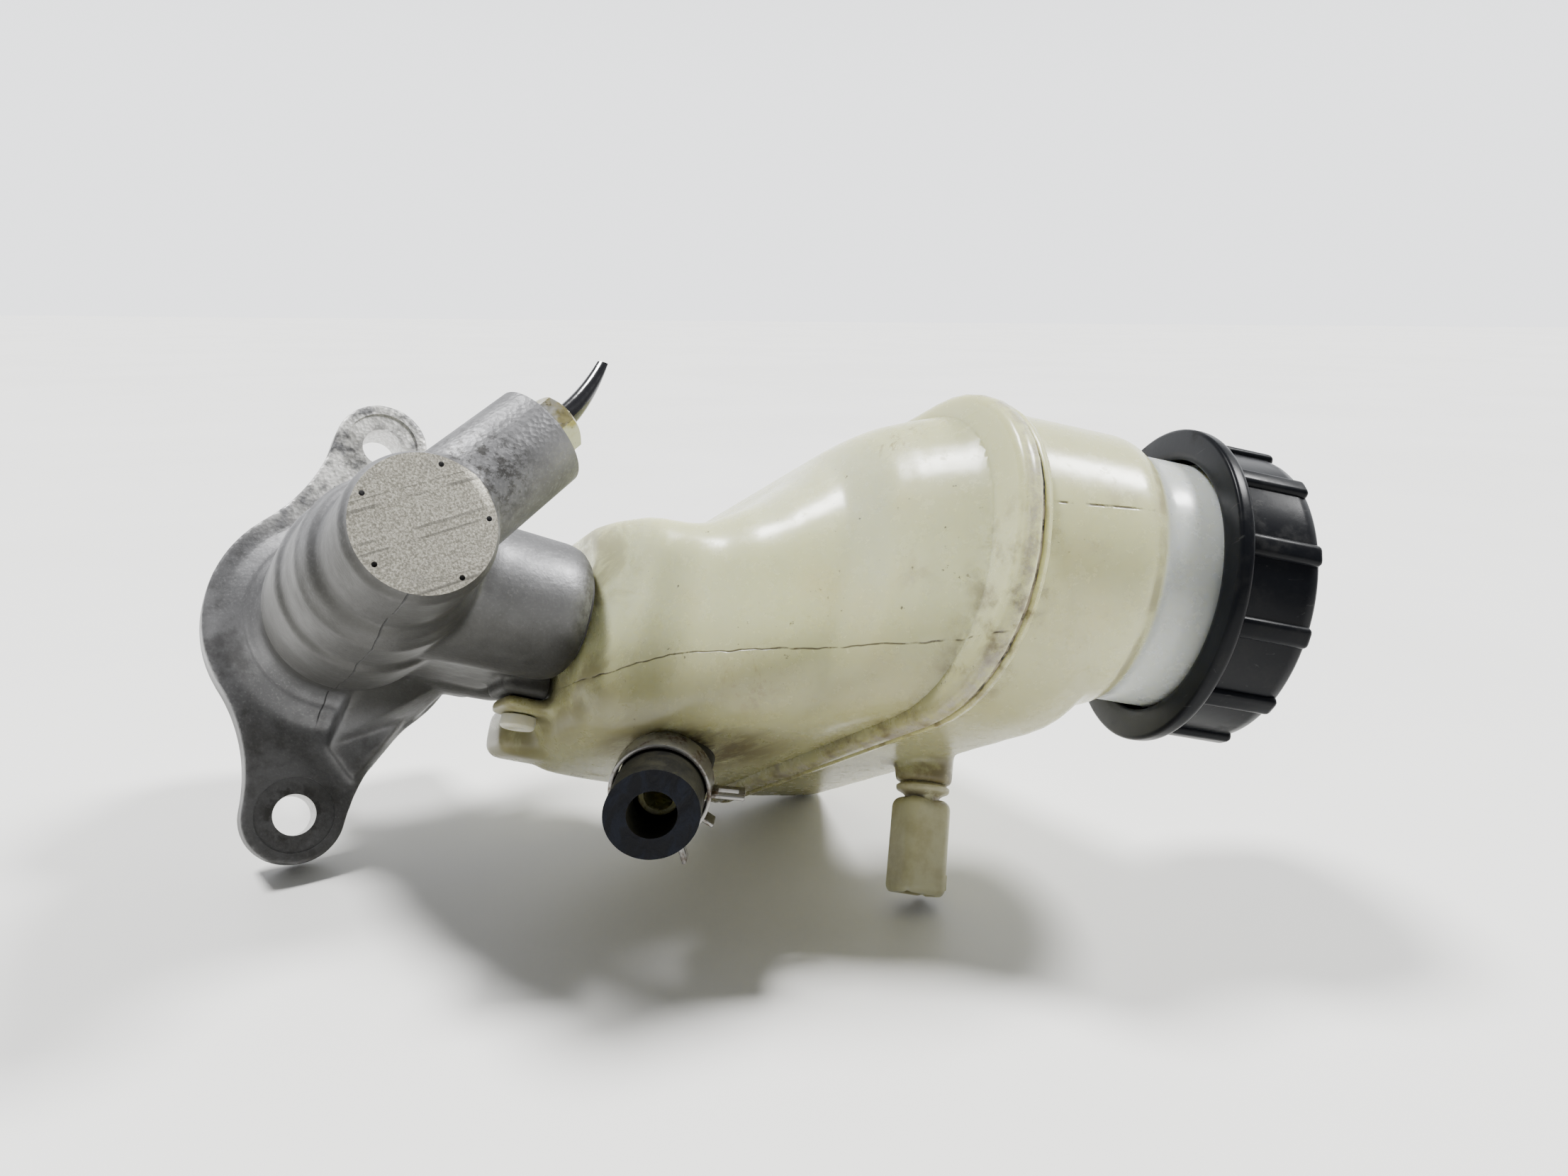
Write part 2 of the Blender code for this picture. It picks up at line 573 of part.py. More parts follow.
def make_filler(black, rubber, plastic):
    inner = CAP_SKIRT_R - 2.2
    top = CAP_HEIGHT
    ring = 3.5
    shell = [(0, top), (CAP_SKIRT_R - 3, top), (CAP_SKIRT_R - 0.6, top - 1), (CAP_SKIRT_R, top - 3)]
    shell += [(CAP_SKIRT_R, ring), (CAP_RING_R, ring - 0.8), (CAP_RING_R, 0.6), (CAP_RING_R - 0.6, 0)]
    shell += [(inner - 1.3, 0), (inner - 1.3, 2), (inner, 2.6), (inner, top - 2.3), (0, top - 2.3)]
    cap = place(turned("filler_cap", shell, 36), black, at=CAP_BASE, along=NECK_AXIS)
    for i in range(CAP_RIBS):
        rib = box("rib", (CAP_SKIRT_R - 1.3, -2.1, ring - 1.2), (CAP_SKIRT_R + 1.3, 2.1, top - 0.8), bevel=0.8)
        join(cap, place(rib, at=CAP_BASE, along=NECK_AXIS, turn=2 * math.pi * i / CAP_RIBS))

    seal = [(0, top - 2.6), (inner - 0.3, top - 2.6), (inner - 0.3, NECK_RIM + GAP + 0.3)]
    seal += [(NECK_BORE_R - 3, NECK_RIM + GAP + 0.3), (NECK_BORE_R - 4, NECK_RIM - 3)]
    seal += [(NECK_BORE_R - 6, NECK_RIM - 3), (NECK_BORE_R - 7, NECK_RIM + 1.2), (0, NECK_RIM + 1.2)]
    place(turned("cap_seal", seal, ROUND), rubber, at=CAP_BASE, along=NECK_AXIS)

    rim = NECK_RIM - 5
    basket = [(NECK_BORE_R - GAP, rim), (NECK_BORE_R - GAP, rim - 1.4), (20.4, rim - 1.4), (19.2, rim - 16)]
    basket += [(0, rim - 16), (0, rim - 14.8), (18.1, rim - 14.8), (19.2, rim)]
    strainer = place(turned("filler_strainer", basket, 24), plastic, at=CAP_BASE, along=NECK_AXIS)
    for i in range(8):
        slot = box("strainer_slot", (15, -2.6, rim - 13), (24, 2.6, rim - 3.4))
        cut(strainer, place(slot, at=CAP_BASE, along=NECK_AXIS, turn=math.pi * i / 4))


# ---------------------------------------------------------------- level sensor


def make_level_sensor(plastic, foam, steel, brass):
    x, y, z = SENSOR
    probe = rod("sensor_housing", 4.0, -26, 8.4, SMALL_ROUND)
    housing = place(probe, plastic, at=SENSOR, along=LEFT)
    shroud = box("shroud", (x - 4.6, y + 6.2, z - 5.6), (x + 4.6, SHROUD_END_Y, z + 5.6), bevel=1.3)
    collar = rod("collar", 5.6, 1.8, 3.6, SMALL_ROUND)
    latch = box("latch", (x - 2.2, SHROUD_END_Y - 5.5, z + 4.9), (x + 2.2, SHROUD_END_Y - 1.9, z + 6.8), bevel=0.4)
    join(housing, place(shroud), place(collar, at=SENSOR, along=LEFT), place(latch))
    mouth = box("plug_room", (x - 3.8, y + 9, z - 4.7), (x + 3.8, SHROUD_END_Y + 3, z + 4.7))
    core = rod("reed_way", 2.4, -24.5, 10, 16)
    cut(housing, place(mouth), place(core, at=SENSOR, along=LEFT))

    place(rod("reed_switch", 1.9, -24, -6, 12), steel, at=SENSOR, along=LEFT)
    block = rod("terminal_block", 2.1, -5, 8.5, 14)
    block = place(block, plastic, at=SENSOR, along=LEFT)
    for i, side in enumerate((-1, 1)):
        way = box("pin_way", (x - 0.6, y + 1, z + side * 1.1 - 0.55), (x + 0.6, y + 12, z + side * 1.1 + 0.55))
        cut(block, place(way))
        pin = box(
            f"connector_pin_{i + 1}",
            (x - 0.3, y + 1.3, z + side * 1.1 - 0.25),
            (x + 0.3, y + 17.5, z + side * 1.1 + 0.25),
        )
        place(pin, brass)

    fx, fy, _ = FLOAT_AT
    top = ROOF_Z - WALL - GAP
    post = turned(
        "float_post",
        [(0, top), (4.5, top), (4.5, top - 1.2), (2.2, top - 1.2), (2.2, 93), (4.2, 92), (4.2, 90.6), (0, 90.6)],
        SMALL_ROUND,
    )
    place(post, plastic, at=(fx, fy, 0), along=UP)
    high = top - 1.2 - GAP
    float_body = tube("level_float", 10.5, 2.7, high - 11, high, 24)
    float_body = place(float_body, foam, at=(fx, fy, 0), along=UP)
    seat = tube("magnet_seat", 7.0, 4.4, high - 12, high - 7.2, 24)
    cut(float_body, place(seat, at=(fx, fy, 0), along=UP))
    magnet = tube("float_magnet", 6.7, 4.7, high - 10.8, high - 7.5, 20)
    place(magnet, steel, at=(fx, fy, 0), along=UP)


# ---------------------------------------------------------------- clutch feed hose


def make_hose(rubber, steel):
    start = -14.0
    hose = turned(
        "clutch_hose",
        [(HOSE_R, HOSE_LENGTH + 4), (HOSE_R, start), (SPOUT_R + GAP, start)]
        + [(SPOUT_R + GAP, SPOUT_LENGTH + 0.6), (HOSE_BORE_R, SPOUT_LENGTH + 1.4)]
        + [(HOSE_BORE_R, HOSE_LENGTH + 4)],
    )
    hose = place(hose, rubber, at=HOSE_ROOT, along=HOSE_OUT)
    # The end was cut off with a knife, slightly out of square.
    knife = box("knife_cut", (-15, -15, 0), (15, 15, 12))
    slant = (HOSE_OUT + Vector((0.10, 0, 0.16))).normalized()
    cut(hose, place(knife, at=HOSE_ROOT + HOSE_OUT * HOSE_LENGTH, along=slant))
    shell_side = box("shell_clearance", (-24, -24, -24), (24, 24, 0))
    outward = Vector((0.10, 0.99, 0)).normalized()
    cut(hose, place(shell_side, at=HOSE_ROOT + outward * 1.0, along=outward))

    band = place(tube("hose_clamp", HOSE_R + GAP + 0.8, HOSE_R + GAP, 15.5, 23.0), steel, HOSE_ROOT, HOSE_OUT)
    for angle, low, high, reach in ((106, 17, 22, 7.5), (76, 18, 22, 3.6), (36, 16.5, 20.5, 7.5)):
        ear = box("clamp_ear", (HOSE_R + 0.6, -0.5, low), (HOSE_R + reach, 0.5, high))
        join(band, place(ear, at=HOSE_ROOT, along=HOSE_OUT, turn=math.radians(angle)))


# ---------------------------------------------------------------- assembly

clear_scene()
PARTS = new_collection("brake_master_cylinder")
TOOLS = new_collection("shape_tools")
TOOLS.hide_render = True
BENCH = bpy.data.objects.new("bench_pose", None)
PARTS.objects.link(BENCH)
BENCH.rotation_euler = BENCH_TILT

cast = new_material("cast_aluminium", (0.24, 0.24, 0.25), 0.55, 0.9)
machined = new_material("machined_aluminium", (0.55, 0.55, 0.55), 0.3, 1.0)
spring_steel = new_material("spring_steel", (0.28, 0.27, 0.26), 0.35, 1.0)
zinc_plate = new_material("zinc_plate", (0.60, 0.57, 0.45), 0.3, 1.0)
pipe_coating = new_material("pipe_coating", (0.01, 0.01, 0.012), 0.2)
black_rubber = new_material("black_rubber", (0.02, 0.02, 0.025), 0.6)
milky_plastic = new_material("milky_plastic", (0.72, 0.71, 0.55), 0.25, 0.0, 0.25)
white_plastic = new_material("white_plastic", (0.62, 0.62, 0.52), 0.4)
black_plastic = new_material("black_plastic", (0.015, 0.015, 0.017), 0.35)
float_foam = new_material("float_foam", (0.06, 0.06, 0.06), 0.8)
contact_brass = new_material("contact_brass", (0.70, 0.55, 0.30), 0.3, 1.0)

make_casting(cast)
make_pistons(machined, black_rubber, spring_steel, black_plastic)
make_spigot_ring(black_rubber)
make_pipes(zinc_plate, pipe_coating)
make_lower_shell(milky_plastic)
make_upper_shell(milky_plastic)
make_grommets(black_rubber)
make_fixing_pin(white_plastic)
make_filler(black_plastic, black_rubber, white_plastic)
make_level_sensor(white_plastic, float_foam, spring_steel, contact_brass)
make_hose(black_rubber, spring_steel)


def stand_on_floor():
    """Moves the bench pose so that the assembly touches Z = 0 and is centred over the origin."""
    bpy.context.view_layer.update()
    graph = bpy.context.evaluated_depsgraph_get()
    corners = []
    for thing in PARTS.objects:
        if thing.type == "MESH":
            solid = thing.evaluated_get(graph)
            corners += [solid.matrix_world @ vertex.co for vertex in solid.data.vertices]
    low = Vector([min(c[i] for c in corners) for i in range(3)])
    high = Vector([max(c[i] for c in corners) for i in range(3)])
    BENCH.location = (-(low.x + high.x) / 2, -(low.y + high.y) / 2, -low.z)


stand_on_floor()
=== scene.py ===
"""Looks of the tandem brake master cylinder: fine meshes and worn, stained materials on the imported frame.

Shapes are given in millimetres in the cylinder's own axes, which come from the record's joints:
X forward along the bore from the flange, Y to the left, Z up towards the filler cap. Finished meshes
are stored in the row frame, and the materials turn Object coordinates back into the cylinder's axes.
"""

import json
import math

import bmesh
import bpy
from mathutils import Matrix, Vector


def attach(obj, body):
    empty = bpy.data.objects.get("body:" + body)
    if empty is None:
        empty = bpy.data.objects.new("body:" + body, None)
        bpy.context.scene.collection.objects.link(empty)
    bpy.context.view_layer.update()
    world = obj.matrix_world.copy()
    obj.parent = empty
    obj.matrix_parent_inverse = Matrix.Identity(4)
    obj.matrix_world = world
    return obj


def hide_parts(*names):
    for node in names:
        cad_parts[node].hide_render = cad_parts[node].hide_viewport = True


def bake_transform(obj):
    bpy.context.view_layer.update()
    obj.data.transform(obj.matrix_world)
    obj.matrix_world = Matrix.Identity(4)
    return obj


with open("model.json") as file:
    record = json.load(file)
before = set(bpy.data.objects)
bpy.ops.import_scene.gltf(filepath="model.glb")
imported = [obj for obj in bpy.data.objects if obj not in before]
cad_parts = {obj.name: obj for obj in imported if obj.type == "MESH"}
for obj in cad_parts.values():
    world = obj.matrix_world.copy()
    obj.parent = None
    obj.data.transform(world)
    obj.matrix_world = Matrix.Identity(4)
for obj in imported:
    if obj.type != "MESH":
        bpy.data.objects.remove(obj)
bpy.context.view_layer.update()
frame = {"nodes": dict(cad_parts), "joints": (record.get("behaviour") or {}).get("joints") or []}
NODES = frame["nodes"]
JOINTS = {joint["name"]: joint for joint in frame["joints"]}

MM = 0.001
X, Y, Z = Vector((1, 0, 0)), Vector((0, 1, 0)), Vector((0, 0, 1))

# The cylinder's axes in the row frame. The cap's joint fixes where they start.
CAP_BASE = Vector((114.8, -19.4, 139.0))
FORWARD = Vector(JOINTS["secondary_stroke"]["axis"]).normalized()
LEFT = Vector(JOINTS["float_travel"]["axis"]).cross(FORWARD).normalized()
AXES = Matrix((FORWARD, LEFT, FORWARD.cross(LEFT))).transposed()
PLACE = Matrix.Translation(Vector(JOINTS["cap_turn"]["pos_m"]) - AXES @ (CAP_BASE * MM)) @ AXES.to_4x4()

# Sizes shared by several pieces
NECK_TILT = math.radians(16.2)
NECK_AXIS = Vector((math.sin(NECK_TILT), 0, math.cos(NECK_TILT)))
STUD_Y = 44.75
NOSE_X = 89.9
BORE_R = 10.3
PORT_X = (79.0, 36.0)
PORT_ANGLE = math.radians(54)
PORT_OUT = Vector((0, -math.sin(PORT_ANGLE), math.cos(PORT_ANGLE)))
PORT_LENGTH = 31.5
TOWER_X = (50.0, 14.0)
TOWER_Y = -1.0
TOWER_TOP = 39.5
SEAM_Z = 95.0
ROOF_Z = 125.0
WALL = 2.2
HOSE_ROOT = Vector((57.0, 24.0, 64.0))
HOSE_OUT = Vector((0.773, 0.492, -0.402)).normalized()
HOSE_R = 8.75
HOSE_LENGTH = 33.0
SENSOR = Vector((71.5, 22.5, 117.5))
SHROUD_END_Y = 47.0
PIN_AT = Vector((35.0, 0, 36.2))


# ---------------------------------------------------------------- mesh helpers


def aim(at=(0, 0, 0), along=None, turn=0.0):
    """A matrix that puts a shape's own Z along a direction, at a point in millimetres."""
    turned = Matrix.Rotation(turn, 4, "Z")
    if along is not None:
        turned = Vector(along).to_track_quat("Z", "Y").to_matrix().to_4x4() @ turned
    return Matrix.Translation(Vector(at)) @ turned


def made(name, work, sharp=35.0):
    """A linked object from a bmesh in millimetres."""
    bmesh.ops.recalc_face_normals(work, faces=work.faces)
    bmesh.ops.scale(work, vec=(MM, MM, MM), verts=work.verts)
    mesh = bpy.data.meshes.new(name)
    work.to_mesh(mesh)
    work.free()
    mesh.shade_smooth()
    mesh.set_sharp_from_angle(angle=math.radians(sharp))
    thing = bpy.data.objects.new(name, mesh)
    bpy.context.scene.collection.objects.link(thing)
    return thing


def rounded(points, radius=0.5, steps=3, closed=False):
    """A profile with its corners rounded off. A corner on the axis stays sharp."""
    out = []
    count = len(points)
    for i, point in enumerate(points):
        if (not closed and i in (0, count - 1)) or (point[0] == 0 and not closed):
            out.append(point)
            continue
        here = Vector(point[:2])
        before, after = Vector(points[i - 1][:2]) - here, Vector(points[(i + 1) % count][:2]) - here
        reach = min(radius, before.length * 0.45, after.length * 0.45)
        start, end = here + before.normalized() * reach, here + after.normalized() * reach
        for step in range(steps + 1):
            t = step / steps
            spot = start * (1 - t) ** 2 + here * 2 * t * (1 - t) + end * t**2
            out.append((spot.x, spot.y))
    return out


def revolve(name, profile, at=(0, 0, 0), along=None, turn=0.0, steps=96, sharp=35.0):
    """A turned solid. The closed profile is (radius, height)."""
    work = bmesh.new()
    where = aim(at, along, turn)
    rows = []
    for radius, height in profile:
        if radius < 1e-6:
            rows.append([work.verts.new(where @ Vector((0, 0, height)))])
            continue
        angles = [2 * math.pi * i / steps for i in range(steps)]
        ring = [Vector((radius * math.cos(a), radius * math.sin(a), height)) for a in angles]
        rows.append([work.verts.new(where @ point) for point in ring])
    for a, b in zip(rows, rows[1:] + rows[:1]):
        if len(a) == 1 and len(b) == 1:
            continue
        for i in range(steps):
            j = (i + 1) % steps
            if len(a) == 1:
                work.faces.new((a[0], b[i], b[j]))
            elif len(b) == 1:
                work.faces.new((a[i], a[j], b[0]))
            else:
                work.faces.new((a[i], a[j], b[j], b[i]))
    return made(name, work, sharp)


def rod(name, radius, low, high, at=(0, 0, 0), along=None, turn=0.0, steps=64):
    return revolve(name, [(0, high), (radius, high), (radius, low), (0, low)], at, along, turn, steps)


def box(name, low, high, bevel=0.0, at=(0, 0, 0), along=None, turn=0.0, segments=3):
    low, high = Vector(low), Vector(high)
    work = bmesh.new()
    bmesh.ops.create_cube(work, size=1)
    bmesh.ops.scale(work, vec=high - low, verts=work.verts)
    bmesh.ops.translate(work, vec=(low + high) / 2, verts=work.verts)
    if bevel:
        edges = work.edges[:]
        bmesh.ops.bevel(work, geom=edges, offset=bevel, segments=segments, affect="EDGES", profile=0.5)
    bmesh.ops.transform(work, matrix=aim(at, along, turn), verts=work.verts)
    return made(name, work)


def loft(name, rings):
    """A closed solid through rings of the same number of points, capped at both ends."""
    work = bmesh.new()
    rows = [[work.verts.new(point) for point in ring] for ring in rings]
    count = len(rows[0])
    for low, high in zip(rows, rows[1:]):
        for i in range(count):
            j = (i + 1) % count
            work.faces.new((low[i], low[j], high[j], high[i]))
    for end in (rows[0], rows[-1]):
        work.faces.new(end)
    return made(name, work)


def sweep(name, path, radius_at, sides=24):
    """A closed tube along points. radius_at gives its two half-widths at a share of the way."""
    work = bmesh.new()
    rows = []
    last = len(path) - 1
    side = None
    for i, point in enumerate(path):
        tangent = (path[min(i + 1, last)] - path[max(i - 1, 0)]).normalized()
        if side is None:
            side = tangent.orthogonal().normalized()
        side = (side - tangent * side.dot(tangent)).normalized()
        other = tangent.cross(side)
        wide, thin = radius_at(i / last)
        ring = []
        for k in range(sides):
            angle = 2 * math.pi * k / sides
            away = side * wide * math.cos(angle) + other * thin * math.sin(angle)
            ring.append(work.verts.new(point + away))
        rows.append(ring)
    for a, b in zip(rows, rows[1:]):
        for k in range(sides):
            j = (k + 1) % sides
            work.faces.new((a[k], a[j], b[j], b[k]))
    for end in (rows[0], rows[-1]):
        work.faces.new(end)
    return made(name, work, 50)


def use(thing, kind, **settings):
    """Adds a modifier, applies it to the mesh and drops it."""
    modifier = thing.modifiers.new(kind.lower(), kind)
    for key, value in settings.items():
        setattr(modifier, key, value)
    graph = bpy.context.evaluated_depsgraph_get()
    mesh = bpy.data.meshes.new_from_object(thing.evaluated_get(graph))
    thing.modifiers.clear()
    thing.data = mesh
    return thing


def join(thing, *others, operation="UNION"):
    for other in others:
        use(thing, "BOOLEAN", object=other, operation=operation, solver="MANIFOLD")
        bpy.data.objects.remove(other)
    return thing


def cut(thing, *others):
    return join(thing, *others, operation="DIFFERENCE")


def merged(name, things):
    """One mesh holding all the shells, which may overlap each other."""
    work = bmesh.new()
    for thing in things:
        work.from_mesh(thing.data)
        bpy.data.objects.remove(thing)
    mesh = bpy.data.meshes.new(name)
    work.to_mesh(mesh)
    work.free()
    result = bpy.data.objects.new(name, mesh)
    bpy.context.scene.collection.objects.link(result)
    return result


def cast(thing, voxel, passes):
    """Melts overlapping shells into one skin and smooths it, which leaves fillets and rounded edges."""
    use(thing, "REMESH", mode="VOXEL", voxel_size=voxel * MM, use_smooth_shade=True)
    use(thing, "SMOOTH", factor=0.6, iterations=passes)
    return thing


def smooth(thing, angle):
    thing.data.shade_smooth()
    thing.data.set_sharp_from_angle(angle=math.radians(angle))


def show(thing, materials, body, nodes):
    """Puts a finished piece into the frame, in place of its CAD nodes."""
    materials = materials if isinstance(materials, list) else [materials]
    thing.data.materials.clear()
    for item in materials:
        thing.data.materials.append(item)
    thing.data.transform(PLACE)
    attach(thing, body)
    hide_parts(*nodes)
    return thing


def paint_faces(thing, index, test):
    """Gives a material to the faces whose centre and normal pass the test, both in the cylinder's axes."""
    back = PLACE.inverted()
    turn_back = back.to_3x3()
    for face in thing.data.polygons:
        if test(back @ face.center / MM, turn_back @ face.normal):
            face.material_index = index


# ---------------------------------------------------------------- materials


class Paint:
    """A Principled material with short calls for its nodes."""

    def __init__(self, name, **values):
        self.material = bpy.data.materials.new(name)
        self.material.use_nodes = True
        self.tree = self.material.node_tree
        self.shader = self.tree.nodes["Principled BSDF"]
        for key, value in values.items():
            self.shader.inputs[key.replace("_", " ")].default_value = value
        here = self.node("ShaderNodeTexCoord").outputs["Object"]
        start = PLACE.translation
        self.x, self.y, self.z = [
            self.maths("SUBTRACT", self.along(here, axis), start.dot(axis)) for axis in AXES.col
        ]
        self.at = self.node("ShaderNodeCombineXYZ", X=self.x, Y=self.y, Z=self.z).outputs[0]

    def node(self, kind, settings=None, **inputs):
        made_node = self.tree.nodes.new(kind)
        for key, value in (settings or {}).items():
            setattr(made_node, key, value)
        for key, value in inputs.items():
            numbered = key[0] == "i" and key[1:].isdigit()
            socket = made_node.inputs[int(key[1:]) if numbered else key]
            if isinstance(value, bpy.types.NodeSocket):
                self.tree.links.new(value, socket)
            else:
                socket.default_value = value
        return made_node

    def noise(self, per_mm, detail=4.0, rough=0.55, stretch=None, warp=0.0):
        """Noise of that many cells per millimetre, stretched along the axes if asked."""
        place = self.at
        if stretch:
            place = self.node("ShaderNodeMapping", Vector=place, Scale=stretch).outputs[0]
        made_node = self.node(
            "ShaderNodeTexNoise",
            Vector=place, Scale=per_mm / MM, Detail=detail, Roughness=rough, Distortion=warp,
        )
        return made_node.outputs[0]

    def cells(self, per_mm):
        return self.node("ShaderNodeTexVoronoi", Vector=self.at, Scale=per_mm / MM).outputs[0]

    def along(self, place, direction):
        made_node = self.node("ShaderNodeVectorMath", {"operation": "DOT_PRODUCT"}, i0=place, i1=direction)
        return made_node.outputs["Value"]

    def maths(self, operation, a, b=0.0):
        return self.node("ShaderNodeMath", {"operation": operation}, i0=a, i1=b).outputs[0]

    def step(self, value, low, high):
        """0 below low, 1 above high, smooth between; falls if low is above high."""
        start, end = (0.0, 1.0) if low < high else (1.0, 0.0)
        low, high = min(low, high), max(low, high)
        made_node = self.node("ShaderNodeMapRange", {"interpolation_type": "SMOOTHSTEP"}, Value=value)
        made_node.inputs["From Min"].default_value = low
        made_node.inputs["From Max"].default_value = high
        made_node.inputs["To Min"].default_value = start
        made_node.inputs["To Max"].default_value = end
        return made_node.outputs[0]

    def near(self, point, inner, outer):
        """1 within the inner distance of a point in millimetres, 0 beyond the outer one."""
        away = self.node("ShaderNodeVectorMath", {"operation": "DISTANCE"}, i0=self.at, i1=Vector(point) * MM)
        return self.step(away.outputs["Value"], outer * MM, inner * MM)

    def plane(self, normal, offset):
        """Signed distance in metres from a plane given in millimetres."""
        return self.maths("SUBTRACT", self.along(self.at, normal), offset * MM)

    def line(self, value, width):
        """1 where a signed distance is within half the width in millimetres of zero."""
        return self.step(self.maths("ABSOLUTE", value), width * MM, width * 0.35 * MM)

    def mix(self, factor, a, b):
        made_node = self.node("ShaderNodeMix", {"data_type": "RGBA"}, i0=factor)
        for socket, value in ((made_node.inputs[6], a), (made_node.inputs[7], b)):
            if isinstance(value, bpy.types.NodeSocket):
                self.tree.links.new(value, socket)
            else:
                socket.default_value = (*value, 1)
        return made_node.outputs[2]

    def times(self, *values):
        result = values[0]
        for value in values[1:]:
            result = self.maths("MULTIPLY", result, value)
        return result

    def most(self, *values):
        result = values[0]
        for value in values[1:]:
            result = self.maths("MAXIMUM", result, value)
        return result

    def between(self, factor, low, high):
        made_node = self.node("ShaderNodeMapRange", Value=factor)
        made_node.inputs["To Min"].default_value = low
        made_node.inputs["To Max"].default_value = high
        return made_node.outputs[0]

    def colour(self, value):
        self.tree.links.new(value, self.shader.inputs["Base Color"])

    def roughness(self, value):
        self.tree.links.new(value, self.shader.inputs["Roughness"])

    def bump(self, height, strength, depth_mm):
        before = self.shader.inputs["Normal"].links
        made_node = self.node("ShaderNodeBump", Height=height, Strength=strength, Distance=depth_mm * MM)
        if before:
            self.tree.links.new(before[0].from_socket, made_node.inputs["Normal"])
        self.tree.links.new(made_node.outputs[0], self.shader.inputs["Normal"])


def cast_metal():
    p = Paint("cast_metal", Metallic=0.55, Specular_IOR_Level=0.15)
    broad = p.noise(0.05, 5, 0.6)
    grain = p.noise(1.6, 3, 0.7)
    base = p.mix(p.step(broad, 0.35, 0.68), (0.125, 0.125, 0.128), (0.215, 0.215, 0.22))
    base = p.mix(p.times(p.step(grain, 0.5, 0.85), 0.45), base, (0.36, 0.36, 0.365))
    # The upper right side, which faces the light, is painted lighter as a painted highlight, and is spotted
    # with dark dirt.
    painted_lit_side = p.times(p.step(p.y, -0.012, -0.034), p.step(p.x, 0.012, 0.002))
    base = p.mix(p.times(painted_lit_side, p.step(p.noise(0.16, 4, 0.6), 0.36, 0.58), 0.9), base, (0.80, 0.79, 0.76))
    spots = p.times(p.step(p.noise(0.33, 6, 0.75), 0.60, 0.70), p.between(painted_lit_side, 0.35, 1.0))
    base = p.mix(p.times(spots, 0.85), base, (0.045, 0.042, 0.038))
    # Dirt sits in the corner under the barrel, around the stud holes and where the towers meet the plastic.
    root = p.times(p.step(p.x, 0.0065, 0.0005), p.step(p.noise(0.12, 5, 0.65), 0.46, 0.66))
    towers = p.times(p.step(p.z, 0.0335, 0.0395), p.step(p.noise(0.25, 5, 0.7), 0.42, 0.6))
    port_root = p.times(p.near((86, -13, 8), 4, 13), p.step(p.noise(0.5, 6, 0.75), 0.46, 0.6))
    hole = p.times(p.near((0, STUD_Y, 0), 5.2, 8.5), p.step(p.noise(0.3, 5, 0.7), 0.40, 0.6))
    dirt = p.most(p.times(root, 0.5), p.times(towers, 0.6), p.times(port_root, 0.8), p.times(hole, 0.8))
    base = p.mix(dirt, base, (0.035, 0.033, 0.030))
    # Painted shade: the +Y side, which lies low and away from the light, is painted dark on the barrel and
    # more lightly on the +Y ear, broken up by noise.
    painted_underside_shade = p.times(
        p.most(
            p.times(p.step(p.y, -0.004, 0.010), p.step(p.x, 0.004, 0.014)),
            p.times(p.step(p.y, 0.020, 0.032), 0.55),
        ),
        p.step(p.noise(0.06, 5, 0.6), 0.15, 0.42),
    )
    base = p.mix(p.times(painted_underside_shade, 0.82), base, (0.036, 0.035, 0.030))
    # The mould's parting line, a fine dark crack with gaps in it.
    parting = p.times(
        p.line(p.maths("ADD", p.z, p.times(p.maths("SUBTRACT", p.noise(0.12, 2), 0.5), 0.0012)), 0.2),
        p.step(p.y, 0.006, 0.009), p.step(p.noise(0.2, 3), 0.36, 0.44), p.step(p.x, 0.0, 0.002),
    )
    base = p.mix(p.times(parting, 0.85), base, (0.03, 0.03, 0.03))
    p.colour(base)
    p.roughness(p.between(p.step(broad, 0.3, 0.7), 0.56, 0.42))
    coarse = p.step(p.y, -0.008, -0.020)
    p.bump(p.noise(2.2, 3, 0.6), 0.35, 0.10)
    p.bump(p.times(p.cells(1.1), p.between(coarse, 0.2, 1.0)), 0.55, 0.16)
    p.bump(p.noise(0.22, 4, 0.5), 0.5, 0.35)
    p.bump(p.maths("SUBTRACT", 1.0, parting), 0.6, 0.2)
    return p.material


def sawn_metal():
    """The end of the barrel, cut with a saw: bright grain with slanting cut marks."""
    p = Paint("sawn_metal", Metallic=0.75)
    saw = p.plane((0, 0.84, 0.54), 0)
    grain = p.noise(2.6, 4, 0.75)
    crystals = p.cells(1.7)
    base = p.mix(p.step(grain, 0.38, 0.66), (0.20, 0.19, 0.155), (0.46, 0.44, 0.375))
    base = p.mix(p.times(p.step(crystals, 0.45, 0.1), 0.45), base, (0.64, 0.61, 0.53))
    stretched = p.node(
        "ShaderNodeTexNoise", {"noise_dimensions": "1D"},
        W=p.maths("MULTIPLY", saw, 700.0), Scale=1.0, Detail=3.0,
    ).outputs[0]
    marks = p.times(p.step(stretched, 0.57, 0.66), p.step(p.noise(0.1, 3), 0.38, 0.52))
    base = p.mix(p.times(marks, 0.8), base, (0.12, 0.115, 0.10))
    base = p.mix(p.times(p.step(p.noise(0.14, 5, 0.6), 0.58, 0.75), 0.4), base, (0.22, 0.21, 0.19))
    p.colour(base)
    p.roughness(p.between(grain, 0.38, 0.6))
    p.bump(stretched, 0.5, 0.12)
    p.bump(grain, 0.6, 0.1)
    return p.material


def machined_metal():
    p = Paint("machined_metal", Metallic=0.9)
    rings = p.noise(1.2, 3, 0.6)
    base = p.mix(p.step(rings, 0.4, 0.62), (0.36, 0.355, 0.34), (0.60, 0.60, 0.59))
    base = p.mix(p.times(p.step(p.noise(0.2, 5, 0.7), 0.56, 0.72), 0.7), base, (0.09, 0.085, 0.08))
    p.colour(base)
    p.roughness(p.between(rings, 0.26, 0.46))
    p.bump(p.noise(1.4, 2, 0.5, stretch=(0.15, 0.15, 3.0)), 0.25, 0.04)
    return p.material


